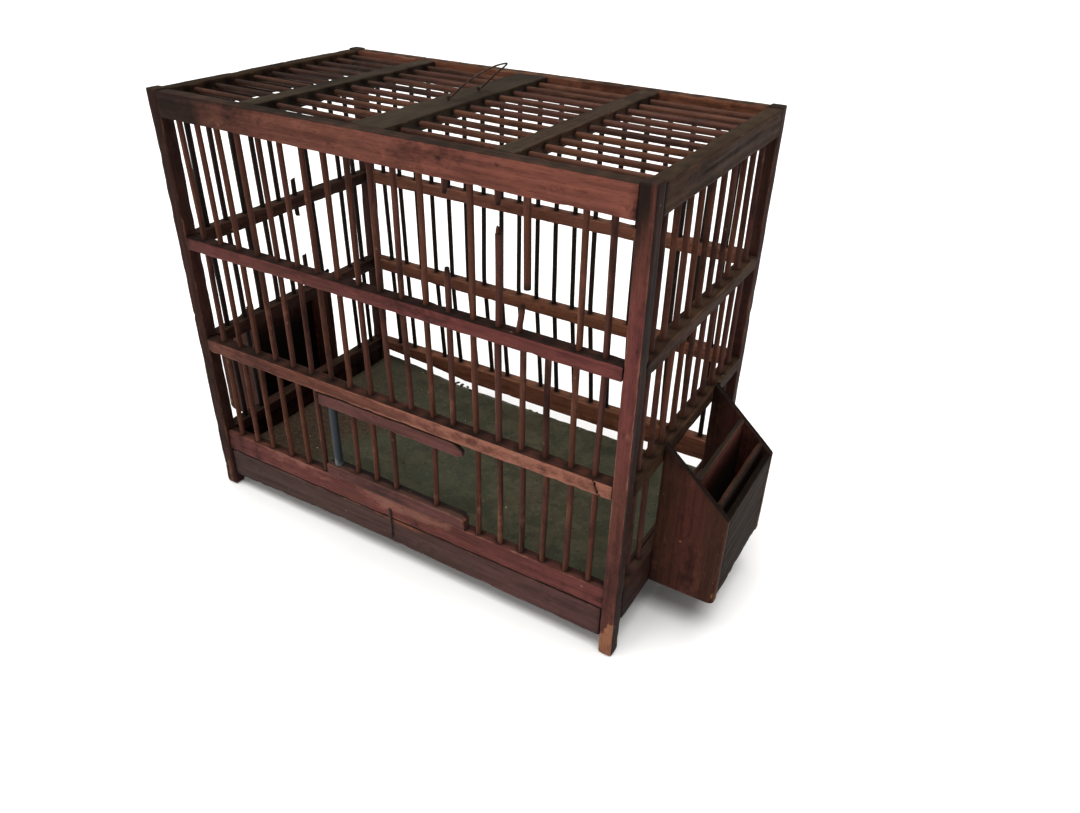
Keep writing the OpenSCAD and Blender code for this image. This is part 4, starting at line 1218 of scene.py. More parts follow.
# crosspieces on the top
for nm, sd, dk in (("top_crosspiece_left", 71, 0.5), ("top_crosspiece_middle", 72, 0.12), ("top_crosspiece_right", 73, 0.2)):
    lo, hi = B(nm)
    hi = hi.copy()

    def tone(P, N, A, C, dk=dk, sd=sd):
        A[:, 1] += dk * (0.8 + 0.4 * vnoise(P, 30, sd))
        # painted shade on the undersides
        A[:, 1] += 0.3 * (N[:, 2] < -0.5)
        C[:, 1] += 0.25 * (np.abs(N[:, 0]) > 0.5)
        if sd == 73:
            A[:, 2] *= 0.5
            C[:, 1] += 0.35

    marks = [(BIG, y, TOP_Z) for y in SIDE_Y]
    one(nm, nm, "cage", M_GREY, "grey_wood",
        board(lo, hi, 1, seed=sd, step=3.4, du=4.2, rough=0.28, bow=0.35, chips=12, tone=tone, dust=0.85, bars=marks, ends=0.4, dents=0.25, worn=0.7))

# hidden strips that carry the tray
lo, hi = B("tray_runners")
run = []
for s, sd in ((-1, 81), (1, 82)):
    a, b = lo.copy(), hi.copy()
    if s < 0:
        b[0] = lo[0] + 12
    else:
        a[0] = hi[0] - 12
    run.append(board(a, b, 1, seed=sd, step=8, chips=3, dust=0.3))
one("tray_runners", "tray_runners", "cage", M_DEEP, "red_wood", run)


# ---------------------------------------------------------------- bars

def bar_seed(group, i):
    return 1000 + group * 100 + i


def front_tone(i, tier):
    light = {(12, 1): 0.30, (14, 0): 0.55, (15, 0): 0.12, (17, 0): 0.15, (14, 1): 0.12}
    spots = {(14, 0): ((97, 0.7),), (13, 0): ((150, 0.6), (131, 0.55)), (15, 0): ((141, 0.6),)}

    def tone(P, N, A, C):
        v = light.get((i, tier), 0.0)
        C[:, 0] = np.maximum(C[:, 0], v * (0.55 + 0.6 * vnoise(P, 20, i * 7 + tier)))
        # painted highlight: the sides that face -x get extra rubbed-wear colour, on top of a little real wear all round
        A[:, 0] += 0.12 + 0.22 * (N[:, 0] < -0.2)
        for (zs_, amt) in spots.get((i, tier), ()):
            C[:, 0] += amt * np.exp(-((P[:, 2] - zs_) / 4.0) ** 2) * (N[:, 1] < 0.3)
        if (i, tier) == (13, 0):
            A[:, 1] += 0.25
        lowz = P[:, 2].min()
        A[:, 1] += 0.35 * np.exp(-(P[:, 2] - lowz) / 12)
    return tone


def dark_tip(inner, *tips):
    """Old breaks have gone dark again."""
    def tone(P, N, A, C):
        inner(P, N, A, C)
        for zt in tips:
            A[:, 1] += 0.75 * np.exp(-np.abs(P[:, 2] - zt) / 2.6)
            C[:, 0] *= 1 - 0.8 * np.exp(-np.abs(P[:, 2] - zt) / 5.0)
    return tone


def bare(P, N, A, C):
    pass


z_top = fb_hi[2]
z_low = fb_lo[2]
lf_lo, lf_hi = B("front_bars_lower_left")
up_rail_lo, up_rail_hi = B("upper_rail_front")
up_z = up_rail_hi[2]
parts = []
for i, x in enumerate(FRONT_X):
    sd = bar_seed(1, i)
    rs = np.random.RandomState(sd)
    go = (FRONT_DRIFT.along(i), still)
    kw = dict(d=BAR_D, seed=sd, bow=1.0, shift=go)
    ft = front_tone(i, 1)
    if i == 12:
        parts.append(rod((x, FRONT_Y, z_low), (x - 0.8, FRONT_Y, up_z + 46), ends=("flat", "round"), tone=dark_tip(ft, up_z + 46), **kw))
        kw["d"] = BAR_D * 0.9
        parts.append(rod((x, FRONT_Y, 480.5), (x, FRONT_Y, z_top), ends=("round", "flat"), tone=dark_tip(ft, 480.5), **kw))
    elif i == 14:
        parts.append(rod((x, FRONT_Y, z_low), (x + 0.6, FRONT_Y, up_z + 92), ends=("flat", "flat"), tone=ft, **dict(kw, d=BAR_D * 1.15)))
        # two splinters stand up where it broke
        xs = x + 0.6 + FRONT_DRIFT.at(14, up_z + 92)
        for dx, dy, h, dd in ((-1.5, 0.3, 99.2, 4.3), (2.0, -0.4, 97.6, 3.7), (0.2, 1.6, 95.5, 4.0)):
            zz = np.array([up_z + 86, up_z + 90, up_z + 92, up_z + 0.5 * (92 + h), up_z + h - 1.2, up_z + h])
            sp = np.stack([xs + dx * np.array([0.4, 0.6, 0.8, 1.0, 1.05, 1.1]), FRONT_Y + dy * np.ones(6), zz], 1)
            parts.append(tube(sp, np.array([dd * 1.3, dd * 1.3, dd * 1.2, dd, dd * 0.7, dd * 0.35]), sides=8, seed=sd + 31 + int(h), lump=0.12, ends=("flat", "round"), tone=ft))
        parts.append(rod((x + 0.4, FRONT_Y, 480.5), (x, FRONT_Y, z_top), ends=("round", "flat"), tone=dark_tip(ft, 480.5), **dict(kw, d=BAR_D * 0.95)))
    elif i == 15:
        parts.append(rod((x, FRONT_Y, z_low), (x, FRONT_Y, up_z - 2), ends=("flat", "flat"), tone=ft, **kw))
        sway = (lambda z: np.interp(z, (up_z, up_z + 28), (-3.4, 1.0)), still)
        parts.append(rod((x, FRONT_Y, up_z - 4), (x, FRONT_Y, up_z + 28), ends=("flat", "round"), tone=dark_tip(ft, up_z + 28), **dict(kw, shift=sway, d=BAR_D * 0.95)))
        parts.append(rod((x, FRONT_Y, 407.4), (x, FRONT_Y, z_top), ends=("flat", "flat"), tone=dark_tip(ft, 407.4), **dict(kw, d=BAR_D * 1.12)))
    elif i == 16:
        parts.append(rod((x, FRONT_Y, z_low), (x, FRONT_Y, up_z - 2), ends=("flat", "flat"), tone=ft, **kw))
    else:
        j = rs.uniform(-0.7, 0.7)
        parts.append(rod((x - j, FRONT_Y, z_low), (x + j, FRONT_Y, z_top), tone=ft, **kw))
one("front_bars_upper", "front_bars_upper", "cage", M_BAR, "bar_wood", parts)
for nm, idx in (("front_bars_lower_left", range(0, 6)), ("front_bars_lower_right", range(13, 19))):
    parts = []
    for i in idx:
        sd = bar_seed(2, i)
        kn = [(48, 4.4, 0.10), (92, 4.9, 0.08)] if i == 14 else ([(60, 4.6, 0.09), (40, 4.2, 0.08)] if i == 13 else ([(55, 4.8, 0.08)] if i == 15 else None))
        parts.append(rod((FRONT_X[i], FRONT_Y, lf_lo[2]), (FRONT_X[i] + np.random.RandomState(sd).uniform(-0.7, 0.7), FRONT_Y, lf_hi[2]),
                         d=BAR_D, seed=sd, bow=1.5 if i == 14 else 0.7, tone=front_tone(i, 0), knots=kn, shift=(LOW_DRIFT.along(i), still)))
    one(nm, nm, "cage", M_BAR, "bar_wood", parts)

bb_lo, bb_hi = B("back_bars")
parts = []
for i, x in enumerate(FRONT_X):
    sd = bar_seed(3, i)
    j = np.random.RandomState(sd).uniform(-1.2, 1.2)
    parts.append(rod((x - j, BACK_Y, bb_lo[2]), (x + j, BACK_Y, bb_hi[2]), d=BAR_D, seed=sd, bow=1.2, step=11, sides=10, shift=(BACK_DRIFT.along(i), still)))
# the back bars take the painted-shade copy of the bar wood
one("back_bars", "back_bars", "cage", M_BAR_SHADED, "bar_wood", parts)

lu_lo, lu_hi = B("left_bars_upper")
parts = []
for i, y in enumerate(SIDE_Y):
    sd = bar_seed(4, i)
    kw = dict(d=BAR_D, seed=sd, bow=1.0, sides=10, shift=(still, LEFT_DRIFT.along(i)))
    if i == 5:
        parts.append(rod((-END_X, y, lu_lo[2]), (-END_X, y, 280), ends=("flat", "broken"), tone=dark_tip(bare, 280), **kw))
        parts.append(rod((-END_X, y, up_rail_lo[2] - 15), (-END_X, y, up_rail_hi[2] + 25), ends=("broken", "broken"), tone=dark_tip(bare, up_rail_lo[2] - 15, up_rail_hi[2] + 25), **kw))
    else:
        parts.append(rod((-END_X, y, lu_lo[2]), (-END_X, y, lu_hi[2]), **kw))
# the upper left bars take the painted-shade copy of the bar wood
one("left_bars_upper", "left_bars_upper", "cage", M_BAR_SHADED, "bar_wood", parts)
ru_lo, ru_hi = B("right_bars_upper")


def end_bar_tone(P, N, A, C):
    # painted shade: the bars of the right end, which faces away from the light, get more of the dark mix
    A[:, 1] += 0.30
    A[:, 0] *= 0.7


one("right_bars_upper", "right_bars_upper", "cage", M_BAR, "bar_wood",
    [rod((END_X, y, ru_lo[2]), (END_X, y, ru_hi[2]), d=BAR_D, seed=bar_seed(5, i), bow=1.0, sides=12, tone=end_bar_tone) for i, y in enumerate(SIDE_Y)])
# the lower left bars take the painted-shade copy of the bar wood, the lower right bars the plain bar wood
for nm, s, g_, mt in (("left_bars_lower", -1, 6, M_BAR_SHADED), ("right_bars_lower", 1, 7, M_BAR)):
    lo, hi = B(nm)
    one(nm, nm, "cage", mt, "bar_wood",
        [rod((s * END_X, SIDE_Y[i], lo[2]), (s * END_X, SIDE_Y[i], hi[2]), d=BAR_D, seed=bar_seed(g_, i), bow=0.6, sides=12,
             shift=(still, LEFT_DRIFT.along(i) if s < 0 else still), tone=end_bar_tone if s > 0 else None) for i in (0, 1, 8, 9)])


# bars across the top lie a little askew: the left end of each is further back
def top_tone(P, N, A, C):
    A[:, 2] *= 0.8
    A[:, 0] *= 0.5
    A[:, 1] += 0.62 * (1 - smooth(P[:, 0], -190, 40))


slant = (B("top_bars")[1][1] - B("top_bars")[0][1]) - (SIDE_Y[-1] - SIDE_Y[0] + BAR_D)
parts = []
for i, y in enumerate(SIDE_Y):
    parts.append(rod((tb_lo[0], y + slant, TOP_Z), (tb_hi[0], y, TOP_Z), d=BAR_D, seed=bar_seed(8, i), bow=0.7, step=10, sides=10, tone=top_tone))
one("top_bars", "top_bars", "cage", M_BAR_TOP, "bar_wood", parts)


# ---------------------------------------------------------------- door

dt_lo, dt_hi = B("door_top_rail")
db_lo, db_hi = B("door_bottom_rail")
dt_lo, dt_hi, db_lo, db_hi = dt_lo.copy(), dt_hi.copy(), db_lo.copy(), db_hi.copy()
pv_lo, pv_hi = B("door_pivot_upright")
pv_x, pv_y = (pv_lo[0] + pv_hi[0]) / 2, (pv_lo[1] + pv_hi[1]) / 2
DOOR_BARS = [7, 8, 9, 11]
door_marks = [(FRONT_X[i] + LOW_DRIFT.at(i, 150), FRONT_Y, BIG) for i in DOOR_BARS] + [(pv_x, pv_y, BIG)]
low_rail_lo = B("lower_rail_front")[0]
dt_hi[2] = low_rail_lo[2] - 1.6
dt_lo[2] = dt_hi[2] - 16
db_lo[2] = B("bottom_rail_front")[1][2] + 1.0
db_hi[2] = db_lo[2] + 16


def door_top_warp(V, N):
    # the free end is whittled thin from behind and rounded over
    x = V[:, 0]
    x1 = dt_hi[0]
    y0, bot = dt_lo[1], dt_lo[2]
    V[:, 1] = y0 + (V[:, 1] - y0) * (1 - 0.68 * smooth(x, x1 - 34, x1))
    t = np.clip((V[:, 2] - bot) / 16.0, 0, 1)
    V[:, 2] += 3.6 * (1 - t) * smooth(x, x1 - 9, x1) - 5.6 * t * smooth(x, x1 - 13, x1)
    return V


def door_top_tone(P, N, A, C):
    face = N[:, 1] < -0.3
    C[:, 1] += face * 0.8 + 0.3
    A[:, 1] += 0.3 * face * (P[:, 2] > dt_hi[2] - 3)
    A[:, 1] += 0.35 * (N[:, 2] > 0.5)
    A[:, 1] += 0.25 * (1 - smooth(P[:, 0], -100, -60))


def door_bot_warp(V, N):
    x, z = V[:, 0], V[:, 2]
    # chip out of the upper free corner
    m = np.exp(-((x - db_hi[0]) / 7) ** 2) * np.exp(-((z - db_hi[2]) / 5) ** 2) * (V[:, 1] < FRONT_Y)
    V[:, 2] -= 1.6 * m
    V[:, 0] -= 1.2 * m
    V[:, 1] = db_lo[1] + (V[:, 1] - db_lo[1]) * (1 - 0.35 * smooth(x, db_hi[0] - 9, db_hi[0]))
    return V


def door_bot_tone(P, N, A, C):
    face = N[:, 1] < -0.3
    C[:, 1] += face * 0.75 + 0.25
    up = N[:, 2] > 0.5
    # painted shade: the top darkens behind the line of the bars
    A[:, 1] += up * (0.06 + 0.85 * smooth(P[:, 1], FRONT_Y - 1.5, FRONT_Y + 2.5))
    A[:, 0] += 0.35 * up * (P[:, 1] < FRONT_Y - 2)
    C[:, 0] += 0.7 * np.exp(-((P[:, 0] - db_hi[0]) / 6) ** 2) * np.exp(-((P[:, 2] - db_hi[2]) / 4) ** 2)


one("door_top_rail", "door_top_rail", "door", M_TRAYF2, "red_wood",
    board(dt_lo, dt_hi, 0, seed=91, step=3, du=3.4, chips=7, tone=door_top_tone, warp=door_top_warp, bars=door_marks, bow=0.3, worn=0.7))
one("door_bottom_rail", "door_bottom_rail", "door", M_TRAYF2, "red_wood",
    board(db_lo, db_hi, 0, seed=92, step=3, du=3.4, chips=7, tone=door_bot_tone, warp=door_bot_warp, bars=door_marks, bow=0.3, worn=0.7, dust=0.25))
dbar_lo, dbar_hi = B("door_bars")
one("door_bars", "door_bars", "door", M_BAR, "bar_wood",
    [rod((FRONT_X[i], FRONT_Y, dbar_lo[2]), (FRONT_X[i] + (1.2 if i == 11 else 0.4), FRONT_Y, dbar_hi[2] - (5 if i == 11 else 0)), d=BAR_D, seed=bar_seed(9, i), bow=0.8, tone=front_tone(i, 0),
         shift=(LOW_DRIFT.along(i), still)) for i in DOOR_BARS])


def pivot_tone(P, N, A, C):
    z = P[:, 2]
    C[:, 0] += 0.75 * (1 - smooth(z + 3 * vnoise(P, 5, 77), 113, 123))
    A[:, 1] += 0.5 * smooth(z, 180, 197)
    # painted shade on the side that faces +x
    A[:, 1] += 0.25 * (N[:, 0] > 0.4)


zz = np.array([db_lo[2] + 0.5, 95, 101, 108, 116, 124, 134, 146, 158, 169, 180, 188, 196, dt_hi[2] - 0.5])
piv = np.stack([pv_x + 0.6 * np.sin(zz / 31.0), np.full(len(zz), pv_y), zz], 1)
dia = np.array([10.6, 10.8, 10.9, 10.9, 10.8, 10.7, 10.9, 10.8, 10.6, 10.8, 10.9, 10.6, 10.6, 10.4])
pin1 = tube([(pv_x, pv_y, z) for z in (pv_lo[2], pv_lo[2] + 2, pv_lo[2] + 5, db_lo[2] + 1.0)], 6.0, sides=16, seed=95, lump=0.01)
pin2 = tube([(pv_x, pv_y, z) for z in (dt_hi[2] - 1.0, pv_hi[2] - 5, pv_hi[2] - 2, pv_hi[2])], 6.0, sides=16, seed=96, lump=0.01)
one("door_pivot_upright", "door_pivot_upright", "door", M_PAINT, "grey_paint_wood",
    [tube(piv, dia, sides=18, seed=94, lump=0.05, square=0.02, tone=pivot_tone), pin1, pin2])


# ---------------------------------------------------------------- tray

tf_lo, tf_hi = B("tray_front")


def tray_front_tone(P, N, A, C):
    x, z = P[:, 0], P[:, 2]
    face = N[:, 1] < -0.3
    n = vnoise(P, 40, 560)
    A[:, 1] += face * 0.34 * (1 - smooth(x + 30 * n, -245, -120))
    A[:, 1] += face * 0.18 * (0.5 + 0.5 * n)
    C[:, 1] += face * (0.35 + 0.35 * smooth(x, 0, 200))
    C[:, 0] += face * 0.70 * bump_at(x, 4, 56) * smooth(z + 3 * n, 50, 59)
    C[:, 0] += face * 0.4 * bump_at(x, -30, 30) * bump_at(z, 44, 6) * (n > 0)
    A[:, 0] += face * 0.5 * bump_at(x, 196, 7) * bump_at(z, 50, 7)
    A[:, 0] += face * 0.35 * bump_at(x, -170, 8) * bump_at(z, 50, 6)
    A[:, 1] += face * 0.25 * (1 - smooth(z, 22, 27))


tf_lo, tf_hi = tf_lo.copy(), tf_hi.copy()
tf_hi[2] += 0.8
TRAY_LOW = line((-283, -4.2), (-262, -3.7), (-148, 0.3), (-34, 2.3), (84, 1.8), (196, 0.8), (283, 0.2))
one("tray_front", "tray_front", "tray", M_TRAYF, "red_wood",
    board(tf_lo, tf_hi, 0, seed=101, step=3.4, du=4.2, chips=16, worn=0.6, rough=0.3, tone=tray_front_tone, dust=0.3, dents=0.22, bow=0.2,
          warp=edge_warp(low=TRAY_LOW, high=SEAM_SLOPE)))

tl_lo, tl_hi = B("tray_floor")


def tray_tone(P, N, A, C):
    x, y = P[:, 0], P[:, 1]
    A[:, :] = 0
    n = vnoise(P, 26, 571)
    near = np.minimum.reduce([x - tl_lo[0], tl_hi[0] - x, y - tl_lo[1]])
    A[:, 1] = 0.75 * np.exp(-near / 12) * (0.7 + 0.5 * n) + 0.2 * np.clip(vnoise(P, 60, 572), 0, 1)
    A[:, 1] *= (N[:, 2] > 0.5)
    C[:, 0] = 0.95 * (1 - smooth(x + 22 * n - 0.25 * y, -190, -120)) * (1 - 0.65 * smooth(y + 15 * n, -30, 80))
    A[:, 1] += 0.22 * (1 - smooth(x + 15 * n, -270, -150)) * (1 - smooth(y, -60, 60)) * (N[:, 2] > 0.5)
    # pale scuffs along the back edge, where the dirt has come off
    back = np.exp(-(tl_hi[1] - y) / 3.0)
    A[:, 0] = 0.55 * back * (vnoise(P, 14, 573) > 0.15) * (0.25 + 0.75 * smooth(x, -175, -130))


def tray_warp(V, N):
    up = N[:, 2] > 0.5
    m = 0.55 * vnoise(V, np.array([38, 38, 400]), 574) + 0.3 * vnoise(V, np.array([13, 13, 400]), 575) + 0.15 * vnoise(V, np.array([6, 6, 400]), 576)
    V[:, 2] += np.where(up, 0.7 * m - 0.15, 0)
    # the back edge is not cut square
    t = np.clip((V[:, 1] - tl_lo[1]) / (tl_hi[1] - tl_lo[1]), 0, 1)
    V[:, 1] += t * np.interp(V[:, 0], (-281, -257, -191, -135, -60, 40, 150, 281), (16.0, 14.5, 6.0, -3.0, -5.0, -6.0, -6.0, -7.0))
    V[:, 1] -= smooth(t, 0.97, 0.995) * 1.2 * (0.5 + 0.5 * vnoise(V, np.array([9, 400, 400]), 577))
    return V


one("tray_floor", "tray_floor", "tray", M_DIRT, "tray_board",
    board(tl_lo, tl_hi, 0, seed=102, step=4.5, du=5, chips=6, worn=0.2, rough=0.15, tone=tray_tone, warp=tray_warp, bow=0.1, r=0.8, dust=0))

# litter on the tray
rs = np.random.RandomState(77)
g = Geo()
for i in range(230):
    px = rs.uniform(tl_lo[0] + 8, tl_hi[0] - 8)
    py = rs.uniform(tl_lo[1] + 6, tl_hi[1] - 12)
    if rs.rand() < 0.35:
        py = tl_lo[1] + 4 + abs(rs.normal(0, 14))
    s_ = rs.uniform(0.8, 2.0)
    g.add(*blob((px, py, tl_hi[2] + 0.25), (s_ * rs.uniform(1.0, 2.2), s_, s_ * 0.7), seed=3000 + i, sides=6, rows=3))
# crumbled pale lumps near the back edge
for i, (px, py, sx, sy, sz) in enumerate(((-132, 151, 10, 5, 2.6), (-122, 148.5, 9, 6, 3.2), (-111, 149, 6, 4, 2.2), (-101, 143.5, 7, 4, 2.0), (6, 143, 7, 5, 2.6), (17, 144, 4, 3, 1.8),
                                          (92, 138, 5, 4, 2.2), (-196, 146, 5, 4, 2.4))):
    g.add(*blob((px, py, tl_hi[2] + 0.5), (sx, sy, sz), seed=3500 + i, sides=10, rows=6))
g.build("v_tray_litter", "tray", M_CRUMB, "tray_board")

# wire catch on the front of the tray
tc_lo, tc_hi = B("tray_catch")
cxm = (tc_lo[0] + tc_hi[0]) / 2
cy0 = tc_lo[1] + 1.4
strip = board((cxm - 2.0, cy0 - 0.95, tc_lo[2] - 1.5), (cxm + 2.0, cy0 + 0.85, tc_hi[2]), 2, r=0.6, seed=114, step=2.2, du=1.4, rough=0.18, bow=0.5, worn=0.5, chips=3,
              end_r=1.4, bow_keep=(1, 0, 1))
catch = [strip,
         nail((cxm, cy0 - 0.75, tc_lo[2] + 2.3), (0, -1, 0), d=4.0, seed=112, rise=0.3),
         tube([(cxm, y, tc_lo[2] + 2.3) for y in (tc_hi[1] - 2.2, tc_hi[1] - 1.1, tc_hi[1] + 0.4)], 3.0, sides=12, seed=113)]
one("tray_catch", "tray_catch", "tray", M_CATCH, "iron_wire", catch)


# ---------------------------------------------------------------- handle

hj = [j for j in frame["joints"] if j["name"] == "handle_hinge"][0]
hp = np.array(hj["pos_m"], float) * 1000
TILT = math.radians(49.0)
hb_lo, hb_hi = B("handle_bail")


def catmull(pts, n=8):
    pts = np.asarray(pts, float)
    out = []
    ext = np.concatenate([[2 * pts[0] - pts[1]], pts, [2 * pts[-1] - pts[-2]]])
    for i in range(1, len(ext) - 2):
        p0, p1, p2, p3 = ext[i - 1:i + 3]
        for t in np.linspace(0, 1, n, endpoint=False):
            out.append(0.5 * ((2 * p1) + (-p0 + p2) * t + (2 * p0 - 5 * p1 + 4 * p2 - p3) * t * t + (-p0 + 3 * p1 - 3 * p2 + p3) * t ** 3))
    out.append(pts[-1])
    return np.array(out)


loop = [(-23.6, 0), (-20.5, 0), (-17.6, 0.9), (-16.2, 3.4), (-16, 8), (-15.9, 14), (-14.8, 21), (-12.0, 28), (-6.5, 34.8), (0, 39.6), (7.4, 43), (16.5, 45),
        (24.0, 45.6), (32.0, 45.2), (39.0, 44.4), (42.2, 42.6), (43.4, 39.0), (42.6, 35), (40.6, 31.0), (39.6, 25), (39.9, 16), (40.4, 8), (40.2, 3.4), (38.8, 0.9), (36.0, 0), (32.8, 0)]
pl = catmull(loop, 5)
path = np.stack([hp[0] + pl[:, 1] * math.sin(TILT), pl[:, 0], hp[2] + pl[:, 1] * math.cos(TILT)], 1)
one("handle_bail", "handle_bail", "handle", M_IRON, "iron_wire", tube(path, 1.95, sides=12, seed=121, lump=0.05))
he_lo, he_hi = B("handle_eyes")
parts = []
for k_, yc in enumerate((he_lo[1] + 0.8, he_hi[1] - 0.8)):
    th = np.linspace(0, 2 * math.pi, 25)
    ring = [(hp[0] + 1.85 * math.cos(t), yc + 0.05 * math.sin(3 * t), hp[2] + 1.85 * math.sin(t)) for t in th]
    parts.append(tube(ring, 1.35, sides=10, seed=131 + k_, lump=0.08))
    parts.append(tube([(hp[0], yc, z) for z in (he_lo[2] + 0.1, he_lo[2] + 1.2, he_lo[2] + 2.4, he_lo[2] + 3.6)], 1.9, sides=10, seed=135 + k_, lump=0.08))
    parts.append(blob((hp[0] - 0.6, yc - 1.2, he_lo[2] + 2.95), (4.4, 5.0, 0.7), seed=138 + k_, sides=10, rows=5))
one("handle_eyes", "handle_eyes", "cage", M_IRON, "iron_wire", parts)


# ---------------------------------------------------------------- feeder boxes

def feeder(side):
    right = side > 0
    word = "right" if right else "left"
    base = 200 if right else 240
    wall = side * B("post_front_right")[1][0]

    # cheeks, cut to the outline of the box
    lo, hi = B(word + "_feeder_cheeks")
    reach = hi[0] - lo[0]
    top_in, bot = hi[2], lo[2]
    fo_lo, fo_hi = B(word + "_feeder_outer_board")
    top_out = fo_hi[2] + 2.0
    parts = []
    thick = 8.0
    for k_, (y0, y1) in enumerate(((lo[1], lo[1] + thick), (hi[1] - thick, hi[1]))):
        def warp(V, N, y0=y0):
            s_ = np.clip((V[:, 0] - wall) * side, 0, reach)
            t = (V[:, 2] - bot) / 100.0
            top = top_in + (top_out - top_in) * s_ / (reach - 3.0)
            top = np.where(s_ > reach - 3.0, top_out - (s_ - (reach - 3.0)), top)
            r8 = 8.0
            o = np.clip(s_ - (reach - r8), 0, r8)
            low = bot + r8 - np.sqrt(np.maximum(0, r8 ** 2 - o ** 2))
            top = top - 0.5 * (0.5 + 0.5 * vnoise(V, 14, base + 7))
            V[:, 2] = low + t * (top - low)
            return V

        def tone(P, N, A, C, k_=k_):
            s_ = (P[:, 0] - wall) * side
            t = (P[:, 2] - bot) / 100.0
            z = bot + t * (top_in - bot)
            n = vnoise(P, 22, base + k_)
            # darker towards the wall, a painted shade where the post shades the cheek; redder in the middle of the
            # board
            A[:, 1] += 0.35 * np.exp(-np.clip(s_, 0, None) / 13) + 0.18 * (0.5 + 0.5 * n)
            C[:, 1] += 0.55 * np.exp(-((s_ - 38) / 22) ** 2) + 0.15
            A[:, 1] += 0.35 * smooth(t, 0.90, 1.0) + 0.8 * (N[:, 2] > 0.5)
            A[:, 0] += 0.5 * np.exp(-((s_ - reach) / 2.5) ** 2) * (1 - smooth(t, 0.10, 0.3))
            # knocks and scratches that show the pale wood
            hz = bot + t * ((top_in + (top_out - top_in) * np.clip(s_, 0, reach) / reach) - bot)
            for (sx, sz, w_, h_, amt) in ((31.6, 120, 1.5, 1.3, 0.9), (51, 120, 1.0, 1.8, 0.75), (44, 108, 5.0, 0.7, 0.5), (56.6, 89, 0.8, 3.6, 0.9), (75.5, 60, 1.6, 5.0, 0.8),
                                          (49, 55, 7.0, 0.9, 0.5), (22, 151, 0.7, 4.0, 0.5), (38, 160, 0.8, 1.6, 0.5), (64, 132, 0.7, 2.6, 0.5), (68, 78, 1.2, 1.2, 0.6)):
                C[:, 0] += amt * np.exp(-((s_ - sx) / w_) ** 2 - ((hz - sz) / h_) ** 2) * (np.abs(N[:, 1]) > 0.5)

        a = np.array([min(wall, wall + side * reach), y0, bot])
        b = np.array([max(wall, wall + side * reach), y1, bot + 100.0])
        v, q, t3, gg, aa, cc = board(a, b, 2, seed=base + k_, step=2.2, du=4.2, chips=0, tone=tone, warp=warp, dust=0.0, ends=0.0, worn=0.35, rough=0.25, bow=0.0, r=1.0, end_r=0.5)
        gg[:, 0] = v[:, 2] + base * 37.0
        parts.append((v, q, t3, gg, aa, cc))
        # a dark iron tie holds each top corner to the post
        yc = y0 - 0.2 if k_ == 0 else y1 + 0.2
        parts.append(blob((wall + side * 2.8, yc, top_in - 4.2), (5.2, 2.2, 6.4), seed=base + 50 + k_, sides=10, rows=7))
        parts[-1][5][:, 2] = 1.0
    one(word + "_feeder_cheeks", word + "_feeder_cheeks", "cage", M_FEED, "feeder_wood", parts)

    # outer board
    def out_tone(P, N, A, C):
        A[:, 1] += 0.24 + 0.25 * np.clip(vnoise(P, 26, base + 12), 0, 1)
        A[:, 0] *= 0.6
        C[:, 1] += 0.35 * (1 - smooth(P[:, 2], 60, 95)) * (N[:, 0] * side > 0.5)
        # painted shade on the inner face, across the narrow slot; the top gets dirt
        A[:, 1] += 0.9 * (N[:, 0] * side < -0.5) + 0.75 * (N[:, 2] > 0.5)
        A[:, 2] *= 0.5

    one(word + "_feeder_outer_board", word + "_feeder_outer_board", "cage", M_FEED_OUT, "feeder_wood",
        board(fo_lo, fo_hi, 1, seed=base + 10, step=4, du=4.5, chips=8, tone=out_tone, dust=0.55, worn=0.7, rough=0.12, dents=0.3, ends=0.5))

    # dividers
    lo, hi = B(word + "_feeder_dividers")
    ranges = ((0.0, 6.0, hi[2]), (26.0, 32.0, hi[2] - 23.0))
    parts = []
    for k_, (d0, d1, top) in enumerate(ranges):
        x0 = (lo[0] + d0) if right else (hi[0] - d1)
        x1 = (lo[0] + d1) if right else (hi[0] - d0)

        def tone(P, N, A, C, top=top, k_=k_):
            h = top - P[:, 2]
            up = N[:, 2] > 0.5
            A[:, 0] += 0.30 * np.exp(-h / 4.0) * ~up
            A[:, 0] *= np.where(up, 0.3, 1.0)
            C[:, 1] += 0.9 * np.exp(-h / 45.0) * (N[:, 0] * side > 0.3) + 0.2
            # painted shade: darker further down inside the slots
            A[:, 1] += 0.28 + 0.75 * smooth(h, 10, 58)
            if k_ == 0:
                A[:, 2] = np.where(up, 1.0, A[:, 2])
                A[:, 1] *= np.where(up, 0.5, 1.0)
            else:
                C[:, 0] += 0.26 * up * (0.8 + 0.4 * vnoise(P, 18, base + 31))
                # painted shade on the face that looks across the narrow slot towards the outer board
                A[:, 1] += 0.7 * (N[:, 0] * side > 0.3)

        parts.append(board((x0, lo[1], lo[2]), (x1, hi[1], top), 1, seed=base + 15 + k_, step=4.5, du=5, chips=6, tone=tone, dust=0.35, worn=0.8, ends=0.6))
    one(word + "_feeder_dividers", word + "_feeder_dividers", "cage", M_FEED, "feeder_wood", parts)

    lo, hi = B(word + "_feeder_floor")

    def floor_tone(P, N, A, C):
        A[:, 1] += 0.5 * (N[:, 2] > 0.5) + 0.2

    one(word + "_feeder_floor", word + "_feeder_floor", "cage", M_FEED, "feeder_wood",
        board(lo, hi, 1, seed=base + 20, step=5, du=6, chips=4, tone=floor_tone, dust=0.2))


feeder(1)
feeder(-1)


# ---------------------------------------------------------------- nails

